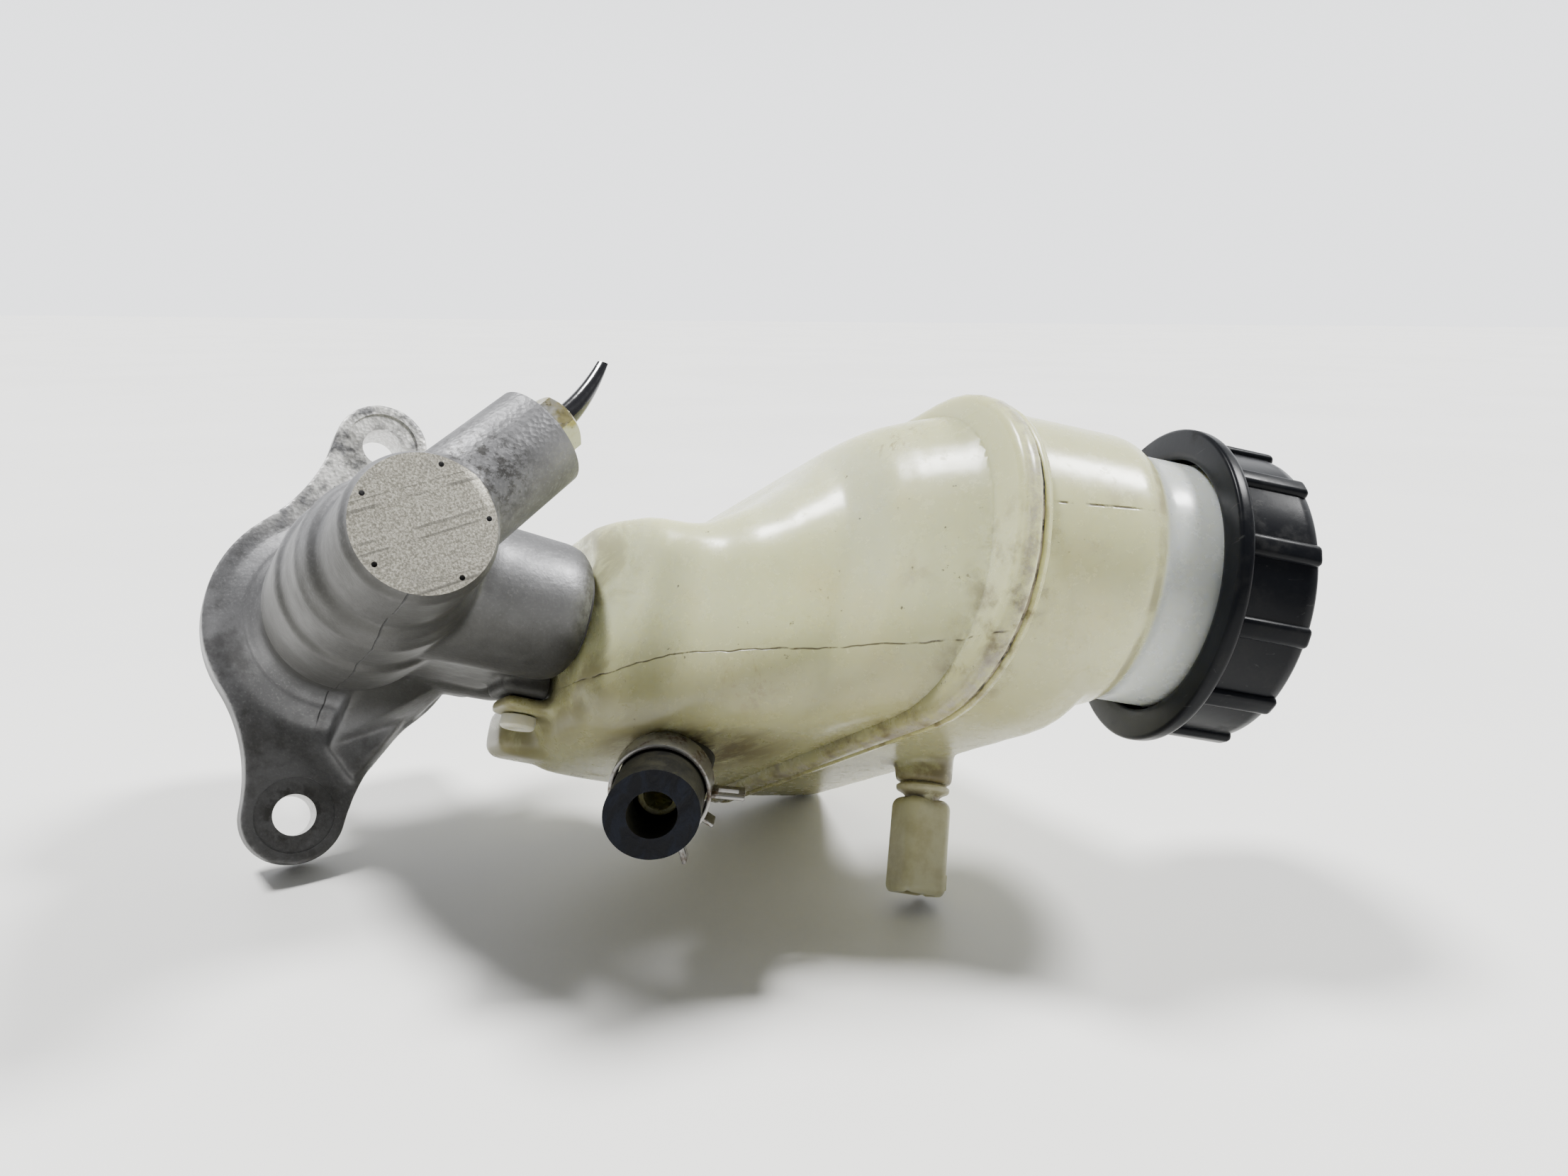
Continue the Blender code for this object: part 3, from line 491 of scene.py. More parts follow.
def milky_plastic():
    p = Paint(
        "milky_plastic", Subsurface_Weight=1.0, Subsurface_Scale=0.0035, Transmission_Weight=0.12,
        Specular_IOR_Level=0.34, IOR=1.49, Coat_Weight=0.07, Coat_Roughness=0.12,
    )
    p.shader.inputs["Subsurface Radius"].default_value = (1.0, 0.93, 0.62)
    broad = p.noise(0.022, 4, 0.55)
    base = p.mix(p.step(broad, 0.35, 0.68), (0.66, 0.67, 0.39), (0.76, 0.77, 0.51))
    base = p.mix(p.times(p.step(p.noise(0.035, 4, 0.6), 0.48, 0.7), 0.5), base, (0.68, 0.63, 0.34))
    # Painted shade: above about 74 mm the shell is painted a little darker.
    base = p.mix(p.times(p.step(p.z, 0.074, 0.092), 0.3), base, (0.42, 0.41, 0.22))
    # The lower side is painted darker and browner, a painted shade.
    painted_under_shade = p.times(p.step(p.y, -0.004, 0.018), p.between(p.noise(0.05, 5, 0.6), 0.65, 1.0))
    base = p.mix(p.times(painted_under_shade, 0.88), base, (0.27, 0.25, 0.11))
    # The neck has stayed blue-grey under the cap's edge.
    tilt = p.plane(NECK_AXIS, CAP_BASE.dot(NECK_AXIS))
    base = p.mix(p.step(tilt, -0.0115, -0.0098), base, (0.54, 0.565, 0.53))
    # Brown dirt: around the hose, along the seam, under the cap and where the casting touches.
    cloud = p.noise(0.10, 6, 0.7, warp=0.6)
    streak = p.noise(0.16, 6, 0.72, stretch=(0.35, 1.0, 1.6), warp=0.4)
    hose = p.times(p.near(HOSE_ROOT + Vector((2, 2, 3)), 10, 27), p.step(streak, 0.36, 0.56))
    above_hose = p.times(p.near((64, 20, 72), 6, 17), p.step(cloud, 0.40, 0.60))
    ledge = p.times(
        p.step(p.maths("ABSOLUTE", p.maths("SUBTRACT", p.z, SEAM_Z * MM)), 0.0085, 0.0025),
        p.step(p.noise(0.14, 6, 0.7), 0.47, 0.66), p.step(p.y, -0.03, 0.0),
    )
    foot = p.times(p.step(p.z, 0.050, 0.041), p.step(cloud, 0.40, 0.58))
    sensor_root = p.times(p.near(SENSOR, 5, 12), p.step(cloud, 0.35, 0.55))
    collar = p.times(p.line(p.maths("ADD", tilt, 0.0122), 1.6), p.step(cloud, 0.40, 0.60))
    dirt = p.most(
        p.times(hose, 0.85), p.times(above_hose, 0.6), p.times(ledge, 0.75), p.times(foot, 0.45),
        p.times(sensor_root, 0.8), p.times(collar, 0.45),
    )
    base = p.mix(dirt, base, (0.085, 0.055, 0.022))
    smudge = p.times(p.step(p.noise(0.06, 6, 0.7), 0.56, 0.72), p.step(p.z, 0.06, 0.08), 0.35)
    base = p.mix(smudge, base, (0.34, 0.29, 0.20))
    # The seam's band is worn grey, and brown scuffs lie on the front and beside the crease.
    band_line = p.line(p.maths("SUBTRACT", p.z, (SEAM_Z - 2.0) * MM), 2.2)
    band = p.times(band_line, p.step(p.noise(0.3, 6, 0.7), 0.40, 0.60))
    base = p.mix(p.times(band, 0.6), base, (0.30, 0.27, 0.25))
    scratch = p.step(p.noise(0.7, 5, 0.7, stretch=(1.0, 0.45, 1.0), warp=0.5), 0.53, 0.61)
    scuffs = p.times(p.most(p.near((86, 12, 66), 2, 10), p.near((104, -37, 83), 2, 9)), scratch)
    base = p.mix(p.times(scuffs, 0.5), base, (0.20, 0.14, 0.07))
    specks = p.times(p.step(p.noise(0.55, 4, 0.7), 0.66, 0.71), p.step(p.noise(0.05, 3), 0.44, 0.56))
    base = p.mix(p.times(specks, 0.85), base, (0.06, 0.045, 0.03))
    # The two halves of the mould met here.
    above = p.maths("SUBTRACT", 0.052, p.z)
    bend = p.maths("ADD", p.most(p.times(above, 0.42), p.times(above, 0.12)), 0.009)
    wobble = p.times(p.maths("SUBTRACT", p.noise(0.2, 2), 0.5), 0.0012)
    lower_line = p.times(
        p.line(p.maths("ADD", p.maths("SUBTRACT", p.y, bend), wobble), 0.22),
        p.step(p.x, 0.040, 0.060), p.step(p.z, 0.094, 0.091),
    )
    upper_line = p.times(
        p.line(p.plane((0.10, 1.0, 0.10), 2.5), 0.36),
        p.step(p.z, 0.097, 0.100), p.step(p.x, 0.09, 0.10), p.step(tilt, -0.013, -0.016),
    )
    lines = p.times(p.most(lower_line, upper_line), p.step(p.noise(0.18, 4, 0.6), 0.40, 0.52))
    base = p.mix(p.times(lines, 0.85), base, (0.05, 0.035, 0.02))
    p.colour(base)
    p.roughness(p.between(p.most(dirt, p.step(p.noise(0.3, 5, 0.7), 0.5, 0.8)), 0.24, 0.5))
    p.bump(p.noise(0.06, 3, 0.5), 0.25, 0.8)
    p.bump(p.noise(0.9, 4, 0.6, stretch=(1.0, 0.3, 1.0)), 0.12, 0.06)
    p.bump(p.maths("SUBTRACT", 1.0, lines), 0.5, 0.15)
    return p.material


def seam_dirt():
    """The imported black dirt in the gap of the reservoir's seam."""
    p = Paint("seam_dirt", Roughness=0.8)
    mask = p.noise(0.16, 5, 0.7)
    p.colour(p.mix(p.step(mask, 0.42, 0.58), (0.30, 0.26, 0.18), (0.012, 0.010, 0.008)))
    p.bump(mask, 0.5, 0.2)
    return p.material


def black_plastic():
    p = Paint("black_plastic", Specular_IOR_Level=0.09)
    dust = p.step(p.noise(0.12, 6, 0.7), 0.5, 0.75)
    base = p.mix(p.times(dust, 0.4), (0.004, 0.0045, 0.006), (0.018, 0.0175, 0.016))
    scratches = p.times(p.step(p.noise(0.5, 5, 0.6, stretch=(0.15, 1.3, 0.5), warp=1.5), 0.64, 0.70), 0.35)
    base = p.mix(scratches, base, (0.05, 0.05, 0.048))
    p.colour(base)
    p.roughness(p.between(dust, 0.30, 0.55))
    p.bump(p.noise(3.0, 2, 0.5), 0.12, 0.04)
    p.bump(p.noise(0.3, 4, 0.5), 0.15, 0.15)
    return p.material


def hose_rubber():
    p = Paint("hose_rubber", Specular_IOR_Level=0.12)
    dust = p.step(p.noise(0.14, 6, 0.7), 0.36, 0.62)
    base = p.mix(dust, (0.008, 0.008, 0.007), (0.022, 0.021, 0.013))
    p.colour(base)
    p.roughness(p.between(dust, 0.5, 0.75))
    p.bump(p.noise(0.7, 5, 0.65), 0.3, 0.15)
    return p.material


def cut_rubber():
    """The knife-cut end of the hose: blue-black, with long tear lines."""
    p = Paint("cut_rubber", Specular_IOR_Level=0.10)
    torn = p.noise(0.42, 5, 0.62, stretch=(1.0, 0.12, 1.0), warp=0.5)
    p.colour(p.mix(p.step(torn, 0.42, 0.66), (0.0015, 0.002, 0.004), (0.005, 0.007, 0.013)))
    p.roughness(p.between(torn, 0.25, 0.6))
    p.bump(torn, 0.8, 0.5)
    p.bump(p.noise(1.8, 3, 0.6), 0.3, 0.1)
    return p.material


def plain_rubber():
    p = Paint("plain_rubber", Specular_IOR_Level=0.4)
    mottle = p.noise(0.5, 5, 0.6)
    p.colour(p.mix(mottle, (0.014, 0.014, 0.015), (0.045, 0.043, 0.04)))
    p.roughness(p.between(mottle, 0.45, 0.7))
    p.bump(p.noise(1.5, 3, 0.5), 0.2, 0.06)
    return p.material


def zinc():
    p = Paint("zinc_plate", Metallic=1.0)
    tint = p.noise(0.22, 3, 0.6)
    base = p.mix(p.step(tint, 0.40, 0.60), (0.50, 0.50, 0.48), (0.35, 0.31, 0.15))
    base = p.mix(p.times(p.step(p.noise(0.6, 5, 0.7), 0.58, 0.68), 0.8), base, (0.12, 0.10, 0.06))
    p.colour(base)
    p.roughness(p.between(p.noise(0.8, 3), 0.20, 0.46))
    p.bump(p.noise(0.9, 4, 0.6), 0.2, 0.08)
    return p.material


def pipe_paint():
    """Glossy black coating, scraped to pale metal at the nipped end."""
    p = Paint("pipe_paint", Specular_IOR_Level=0.7, Coat_Weight=0.6, Coat_Roughness=0.06)
    out = p.plane(PORT_OUT, 0)
    bare = p.times(p.step(out, 0.0535, 0.0548), p.step(p.noise(0.9, 4, 0.6), 0.42, 0.56))
    p.colour(p.mix(bare, (0.006, 0.006, 0.008), (0.42, 0.41, 0.38)))
    p.roughness(p.between(p.noise(0.6, 3), 0.10, 0.24))
    p.bump(p.noise(0.5, 3, 0.5), 0.15, 0.15)
    return p.material


def dark_steel():
    p = Paint("dark_steel", Metallic=0.85)
    rust = p.step(p.noise(0.3, 6, 0.72), 0.48, 0.66)
    base = p.mix(rust, (0.23, 0.225, 0.215), (0.085, 0.055, 0.035))
    p.colour(base)
    p.roughness(p.between(rust, 0.32, 0.7))
    p.bump(p.noise(0.8, 5, 0.65), 0.3, 0.08)
    return p.material


def bright_steel():
    p = Paint("bright_steel", Metallic=1.0)
    drawn = p.noise(0.9, 4, 0.6)
    p.colour(p.mix(drawn, (0.34, 0.335, 0.33), (0.58, 0.575, 0.56)))
    p.roughness(p.between(drawn, 0.2, 0.4))
    p.bump(drawn, 0.15, 0.04)
    return p.material


def nylon(name, colour, stain):
    p = Paint(name, Subsurface_Weight=0.8, Subsurface_Scale=0.002, Transmission_Weight=0.10, IOR=1.49)
    p.shader.inputs["Subsurface Radius"].default_value = (1.0, 0.95, 0.7)
    cloud = p.noise(0.16, 5, 0.65)
    base = p.mix(p.step(cloud, 0.40, 0.68), colour, stain)
    root = p.times(p.near(SENSOR + Y * 2.0, 3, 7.5), p.step(p.noise(0.35, 5, 0.7), 0.32, 0.52))
    base = p.mix(p.times(root, 0.85), base, (0.10, 0.07, 0.035))
    p.colour(base)
    p.roughness(p.between(cloud, 0.30, 0.48))
    p.bump(p.noise(0.8, 4, 0.6), 0.15, 0.06)
    return p.material


def foam():
    p = Paint("float_foam", Roughness=0.85)
    p.colour(p.mix(p.noise(1.2, 4), (0.035, 0.035, 0.035), (0.085, 0.085, 0.08)))
    p.bump(p.cells(1.6), 0.5, 0.15)
    return p.material


def brass():
    p = Paint("contact_brass", Metallic=1.0)
    tarnish = p.noise(0.8, 4, 0.6)
    p.colour(p.mix(tarnish, (0.60, 0.46, 0.22), (0.76, 0.62, 0.36)))
    p.roughness(p.between(tarnish, 0.2, 0.4))
    return p.material


# ---------------------------------------------------------------- casting


def flange_outline():
    """Hub circle and two ear circles joined by hollow waists tangent to both. Y across, Z up."""
    hub, ear, waist = 29.0, 10.9, 40.0
    steps = 24
    to_hub, to_ear = hub + waist, ear + waist
    y = (to_hub**2 - to_ear**2 + STUD_Y**2) / (2 * STUD_Y)
    z = math.sqrt(to_hub**2 - y**2)
    at_hub, at_ear = math.atan2(z, y), math.atan2(z, y - STUD_Y)

    def arc(centre, radius, start, end):
        angles = [start + (end - start) * i / steps for i in range(steps + 1)]
        return [(centre[0] + radius * math.cos(a), centre[1] + radius * math.sin(a)) for a in angles]

    quarter = arc((STUD_Y, 0), ear, 0, at_ear)
    quarter += arc((y, z), waist, at_ear + math.pi, at_hub + math.pi)[1:]
    quarter += arc((0, 0), hub, at_hub, math.pi / 2)[1:]
    half = quarter + [(-py, pz) for py, pz in quarter[-2::-1]]
    return half + [(py, -pz) for py, pz in half[-2:0:-1]]


def make_casting():
    """Barrel, flange, towers and bosses melted into one cast skin, then drilled and faced."""
    over = 1.6  # left on each face that is machined off again
    barrel = [(0, NOSE_X + over), (12.2, NOSE_X + over), (12.35, 89.2), (13.4, 87.6), (13.9, 70)]
    barrel += [(14.2, 68.4)]
    barrel += [(15.4, 67.4), (15.8, 66.2), (16.6, 63), (17.1, 62.2), (17.5, 50), (17.7, 47.6), (18.5, 46.6)]
    barrel += [(18.8, 45), (18.9, 21), (18.6, 19.6), (17.7, 18.8), (18.0, 9), (19.2, 6.4), (20.6, 5.2)]
    barrel += [(21.0, 3.4)]
    barrel += [(22.4, 2.2), (25.6, -0.2), (25.6, -6), (17.2, -8), (17.2, -12), (0, -12)]
    parts = [revolve("barrel", barrel, along=X)]
    outline = flange_outline()
    parts.append(loft("flange", [[(x, py, pz) for py, pz in outline] for x in (-10.9, 0.1)]))
    parts.append(box("saddle", (1.5, -12.7, 0), (58.4, 12.7, 32.4), bevel=2.5))
    foot = [(-2, 9, 2), (-2, 30, 2.2), (-2, 37, 11.5), (-2, 21, 20), (-2, 9, 28)]
    crest = [(26, 9, 5.5), (2.2, 28.5, 3.6), (2.0, 35.3, 10.3), (3.0, 20, 18.3), (21, 9, 26.5)]
    parts.append(loft("left_gusset", [foot, crest]))
    parts.append(box("fixing_boss", (27.8, 8, 29.8), (42.2, 15.8, 40.8), bevel=1.5))
    for x in TOWER_X:
        rim = [(0, TOWER_TOP + over), (9.8, TOWER_TOP + over), (12.2, TOWER_TOP - 0.1)]
        rim += [(13.9, TOWER_TOP - 1.9), (14.6, TOWER_TOP - 4.5), (15.3, 8), (0, 8)]
        parts.append(revolve("tower", rim, at=(x, TOWER_Y, 0), along=Z))
    for x in PORT_X:
        end = [(0, PORT_LENGTH + over), (10.1, PORT_LENGTH + over), (10.6, 2), (0, 2)]
        parts.append(revolve("port_boss", end, at=(x, 0, 0), along=PORT_OUT))
    body = cast(merged("casting", parts), 0.62, 7)

    trims = [box("nose_trim", (NOSE_X, -20, -20), (NOSE_X + 6, 20, 20))]
    trims.append(box("tower_trim", (-6, -20, TOWER_TOP), (72, 20, TOWER_TOP + 6)))
    for x in PORT_X:
        low, high = (-14, -14, PORT_LENGTH), (14, 14, PORT_LENGTH + 6)
        trims.append(box("port_trim", low, high, at=(x, 0, 0), along=PORT_OUT))
    trims.append(box("rear_trim", (-60, -70, -45), (-10.7, 70, 45)))
    for side in (-1, 1):
        at = (0, side * STUD_Y, 0)
        hole = [(0, 3), (5.1, 3), (4.5, -0.6), (4.5, -10.2), (5.0, -12), (0, -12)]
        trims.append(revolve("stud_hole", hole, at=at, along=X))
        trims.append(revolve("spot_face", [(0, 3), (8.6, 3), (8.4, -0.28), (0, -0.28)], at=at, along=X))
    # The saw's end face carries five punch marks near its rim.
    for angle in (46, 110, 177, 258, 325):
        y, z = 10.9 * math.cos(math.radians(angle)), 10.9 * math.sin(math.radians(angle))
        mark = [(0, 1), (0.75, 1), (0.42, -0.3), (0, -1.1)]
        trims.append(revolve("punch_mark", mark, at=(NOSE_X, y, z), along=X, steps=16))
    for trim in trims:
        cut(body, trim)
    spigot = [(0, -6), (16.9, -6), (16.9, -13.5), (15.2, -13.6), (15.2, -16.9), (16.9, -17), (16.9, -40)]
    spigot = rounded(spigot + [(15, -42), (0, -42)], 0.3, 2)
    join(body, revolve("spigot", spigot, along=X))
    bore = [(0, 86), (3, 85), (BORE_R, 82), (BORE_R, -37), (11.6, -37), (11.6, -38.8), (BORE_R, -38.8)]
    bore += [(BORE_R, -41), (11.5, -43), (0, -43)]
    cut(body, revolve("bore", bore, along=X))
    for x in PORT_X:
        drill = [(0, 38), (5.6, 38), (5.0, 34.8), (5.0, 22.5), (1.6, 20), (1.6, 7), (0, 7)]
        cut(body, revolve("drilling", drill, at=(x, 0, 0), along=PORT_OUT))
    for x in TOWER_X:
        pocket = [(0, 42), (8.9, 42), (8.6, 38.9), (8.6, 29.5), (0, 29.5)]
        cut(body, revolve("pocket", pocket, at=(x, TOWER_Y, 0), along=Z))
        cut(body, rod("feed", 1.5, 7, 31, at=(x - 6.4, TOWER_Y, 0), along=Z, turn=0.2, steps=24))
    cut(body, rod("pin_hole", 2.1, 6, 18, at=PIN_AT, along=Y, steps=24))
    smooth(body, 40)
    show(body, [cast_metal(), sawn_metal(), machined_metal()], "root", ["cylinder_body"])
    paint_faces(body, 1, lambda c, n: c.x > NOSE_X - 0.02 and n.x > 0.9)
    paint_faces(body, 2, lambda c, n: c.x < -10.6)
    for x in PORT_X:
        at = Vector((x, 0, 0))
        end = at.dot(PORT_OUT) + PORT_LENGTH - 0.1
        paint_faces(body, 2, lambda c, n: n.dot(PORT_OUT) > 0.95 and c.dot(PORT_OUT) > end)
    for side in (-1, 1):
        at = Vector((0, side * STUD_Y, 0))
        paint_faces(body, 2, lambda c, n: (c - at).length < 12 and math.hypot(c.y - at.y, c.z) < 4.95)
    return body


# ---------------------------------------------------------------- reservoir


def plan(z, rear, front, right, left_rear, left_front, r_rear, r_right, r_left, inset=0.0, corner=10, side=6):
    """A level ring: four sides, the left one slanting, with round corners."""
    rear, front, right = rear + inset, front - inset, right + inset
    left_rear, left_front = left_rear - inset, left_front - inset
    corners = [(rear, right, max(r_rear - inset, 1)), (front, right, max(r_right - inset, 1))]
    corners += [(front, left_front, max(r_left - inset, 1)), (rear, left_rear, max(r_rear - inset, 1))]
    arcs = []
    for i, (x, y, radius) in enumerate(corners):
        here = Vector((x, y))
        before = (Vector(corners[i - 1][:2]) - here).normalized()
        after = (Vector(corners[(i + 1) % 4][:2]) - here).normalized()
        half = before.angle(after) / 2
        centre = here + (before + after).normalized() * (radius / math.sin(half))
        start = here + before * (radius / math.tan(half)) - centre
        sweep_angle = math.pi - 2 * half
        turns = [Matrix.Rotation(sweep_angle * k / corner, 2) for k in range(corner + 1)]
        arcs.append([centre + turn @ start for turn in turns])
    ring = []
    for i, points in enumerate(arcs):
        ring += points
        end, start = points[-1], arcs[(i + 1) % 4][0]
        ring += [end.lerp(start, k / side) for k in range(1, side)]
    return [(point.x, point.y, z) for point in ring]


def between_levels(levels, step):
    """The same levels with smooth ones between them, about a step apart."""
    out = []
    for i in range(len(levels) - 1):
        p0, p1, p2 = levels[max(i - 1, 0)], levels[i], levels[i + 1]
        p3 = levels[min(i + 2, len(levels) - 1)]
        count = max(1, round((p2[0] - p1[0]) / step))
        for k in range(count):
            t = k / count
            row = []
            for a, b, c, d in zip(p0, p1, p2, p3):
                eased = (c - b) * t * t * (3 - 2 * t)
                square, cube = 2 * a - 5 * b + 4 * c - d, 3 * b - 3 * c + d - a
                curved = 0.5 * ((c - a) * t + square * t**2 + cube * t**3)
                row.append(b + 0.25 * eased + 0.75 * curved)
            row[0] = p1[0] + (p2[0] - p1[0]) * t
            out.append(tuple(row))
    return out + [levels[-1]]


# Level by level: height, rear, front, right, left at the rear, left at the front, corner radii.
LOWER_LEVELS = [
    (41.0, 13, 56, -22, 19.5, 17, 6, 10, 10),
    (44.0, 10.5, 63, -23, 25, 21, 7, 11, 11),
    (49.0, 9, 73, -23, 28, 23, 7, 12, 12),
    (56.0, 8.5, 83, -21, 28.5, 22, 7, 13, 13),
    (64.0, 8, 91.5, -25, 28.5, 20, 7, 15, 16),
    (70.0, 8, 96.5, -31, 28.5, 19, 8, 18, 19),
    (75.0, 8, 100.5, -37.5, 28.5, 17.5, 9, 22, 22),
    (77.6, 8, 105.5, -40.5, 28.5, 17, 9, 23, 24),
    (79.6, 8, 110.0, -42.0, 28.2, 16.2, 9, 24, 26),
    (83.0, 8, 114.5, -44.0, 28, 15.5, 9, 25, 27),
    (88.0, 8, 121, -45.5, 28, 13.5, 9, 27, 29),
    (SEAM_Z, 8, 131, -46.5, 27, 12, 9, 28, 30),
]
UPPER_LEVELS = [
    (SEAM_Z, 8, 131, -46.5, 27, 12, 9, 28, 30),
    (103.0, 8, 131.5, -46.5, 26, 12, 9, 28, 30),
    (112.0, 8.5, 131, -46.5, 24.5, 12.5, 9, 28, 29),
    (120.5, 9.5, 128, -45, 23, 12, 9, 27, 28),
    (123.8, 11, 124, -43, 21, 9.5, 9, 26, 26),
    (ROOF_Z, 14, 118, -39, 18, 6, 8, 24, 24),
]


PACKED = 1.6


def rim_ring(z, grow):
    return plan(z, *LOWER_LEVELS[-1][1:], inset=-grow)


def make_lower_shell(plastic, dirt):
    rings = [plan(*level) for level in between_levels(LOWER_LEVELS, 1.5)]
    parts = [loft("lower", rings + [plan(SEAM_Z + 3, *LOWER_LEVELS[-1][1:])])]
    parts.append(box("lug", (28.5, 16, 31), (41.5, 19.2, 46), bevel=1.2))
    parts.append(box("rear_lobe", (9.6, 14.8, 35.6), (26.4, 26.4, 50), bevel=3))
    shell = cast(merged("reservoir_lower", parts), 0.9, 9)
    cut(shell, box("seam_level", (-20, -90, SEAM_Z - 1.4), (170, 70, SEAM_Z + 30)))
    lip = [(-4.4, 0.2), (-3.9, 1.5), (-3.3, 2.2), (-2.2, 2.5), (-0.9, 2.6), (-0.45, 2.3), (-0.3, 1.5)]
    join(shell, loft("lip", [rim_ring(SEAM_Z + rise, grow) for rise, grow in lip]))
    join(shell, loft("packed_dirt", [rim_ring(SEAM_Z - 0.6, PACKED), rim_ring(SEAM_Z + 0.7, PACKED)]))
    end = HOSE_LENGTH - 9.0
    spout = rounded([(0, end), (3.7, end), (4.2, end - 0.6), (4.2, 12), (4.9, 10), (4.9, -8), (0, -8)], 0.3)
    join(shell, revolve("spout", spout, at=HOSE_ROOT, along=HOSE_OUT, steps=48))
    nipple = [(0, 45), (5, 45), (5, 33), (4.4, 31.5), (0, 31.5)]
    for x in TOWER_X:
        join(shell, revolve("nipple", nipple, (x, TOWER_Y, 0), Z, steps=48))
    levels = between_levels(LOWER_LEVELS, 4)
    hollow = [plan(levels[0][0] + WALL, *levels[0][1:], inset=WALL)]
    hollow += [plan(*level, inset=WALL) for level in levels[1:]]
    hollow.append(plan(SEAM_Z + 4, *LOWER_LEVELS[-1][1:], inset=WALL))
    cut(shell, loft("hollow", hollow), box("lobe_hollow", (12, 17, 38), (24, 24.2, 52)))
    cut(shell, rod("spout_bore", 2.9, -12, end + 2, at=HOSE_ROOT, along=HOSE_OUT, steps=48))
    for x in TOWER_X:
        cut(shell, rod("nipple_bore", 3.1, 28, 50, at=(x, TOWER_Y, 0), along=Z, turn=0.13, steps=32))
    cut(shell, rod("lug_hole", 2.4, 10, 25, at=PIN_AT, along=Y, steps=32))
    smooth(shell, 45)
    show(shell, [plastic, dirt], "root", ["reservoir_lower_shell"])
    paint_faces(shell, 1, lambda c, n: abs(c.z - SEAM_Z) < 0.66 and abs(n.z) < 0.4 and c.x > 9)


def make_upper_shell(plastic):
    rings = [plan(SEAM_Z - 2, *UPPER_LEVELS[0][1:])]
    rings += [plan(*level) for level in between_levels(UPPER_LEVELS, 1.5)]
    neck = [(0, 13.6), (25.2, 13.6), (25.2, -9.5), (27.2, -12.5), (27.9, -15), (28.0, -38)]
    neck += [(20, -40), (0, -40)]
    parts = [loft("upper", rings), revolve("neck", neck, CAP_BASE, NECK_AXIS)]
    parts.append(rod("sensor_boss", 6.3, -8, 0.6, at=SENSOR, along=Y))
    parts.append(box("side_lug", (101, -48.6, 101.0), (102.8, -40, 107.5), bevel=0.6))
    shell = cast(merged("reservoir_upper", parts), 0.9, 8)
    cut(shell, box("seam_level", (-20, -90, SEAM_Z - 30), (170, 70, SEAM_Z + 1.7)))
    cut(shell, box("rim_trim", (-40, -40, 13.0), (40, 40, 20), at=CAP_BASE, along=NECK_AXIS))
    lip = [(0.6, 1.3), (0.75, 2.0), (1.2, 2.3), (2.0, 2.1), (2.6, 1.2), (3.0, 0.2)]
    join(shell, loft("lip", [rim_ring(SEAM_Z + rise, grow) for rise, grow in lip]))
    hollow = [plan(level[0], *level[1:], inset=WALL) for level in UPPER_LEVELS[:-2]]
    hollow.insert(0, plan(SEAM_Z - 4, *UPPER_LEVELS[0][1:], inset=WALL))
    hollow.append(plan(ROOF_Z - WALL, *UPPER_LEVELS[-2][1:], inset=WALL))
    inside = [(0, 17), (22.8, 17), (22.8, -10), (25.8, -13.5), (25.8, -37), (0, -37)]
    cut(shell, loft("hollow", hollow), revolve("neck_inside", inside, CAP_BASE, NECK_AXIS))
    cut(shell, rod("sensor_way", 4.4, -16, 5, at=SENSOR, along=Y, turn=0.1, steps=48))
    # The thread that the cap turns on.
    turns, lead = 2.2, 4.0
    points = []
    for i in range(int(turns * 48) + 1):
        angle = 2 * math.pi * i / 48
        spot = Vector((25.1 * math.cos(angle), 25.1 * math.sin(angle), 3.2 + lead * i / 48))
        points.append(aim(CAP_BASE, NECK_AXIS) @ spot)
    thread = sweep("thread", points, lambda t: (0.75 * min(1, 12 * t, 12 * (1 - t)) + 0.05,) * 2, sides=8)
    join(shell, thread)
    smooth(shell, 45)
    show(shell, plastic, "root", ["reservoir_upper_shell"])


def make_grommets(rubber):
    for name, x in zip(("front_grommet", "rear_grommet"), TOWER_X):
        profile = [(10.6, 40.4), (10.6, 39.8), (8.3, 39.8), (8.3, 30.8), (7.5, 29.8)]
        profile += [(5.3, 29.8), (5.3, 40.4)]
        ring = revolve(name + "_seal", rounded(profile, 0.25, 2, closed=True), (x, TOWER_Y, 0), Z)
        show(ring, rubber, "root", [name])


def make_pin(plastic):
    """The hollow push pin that holds the reservoir's lug to the casting."""
    outline = [(0, 19.4), (1.3, 19.4), (1.7, 22.3), (3.2, 22.3), (3.75, 21.8), (3.8, 19.5)]
    outline += [(1.8, 19.5), (1.8, 9), (0, 8)]
    pin = revolve("pin", rounded(outline, 0.2, 2), at=PIN_AT, along=Y, steps=48)
    smooth(pin, 35)
    show(pin, plastic, "root", ["reservoir_pin"])


# ---------------------------------------------------------------- filler


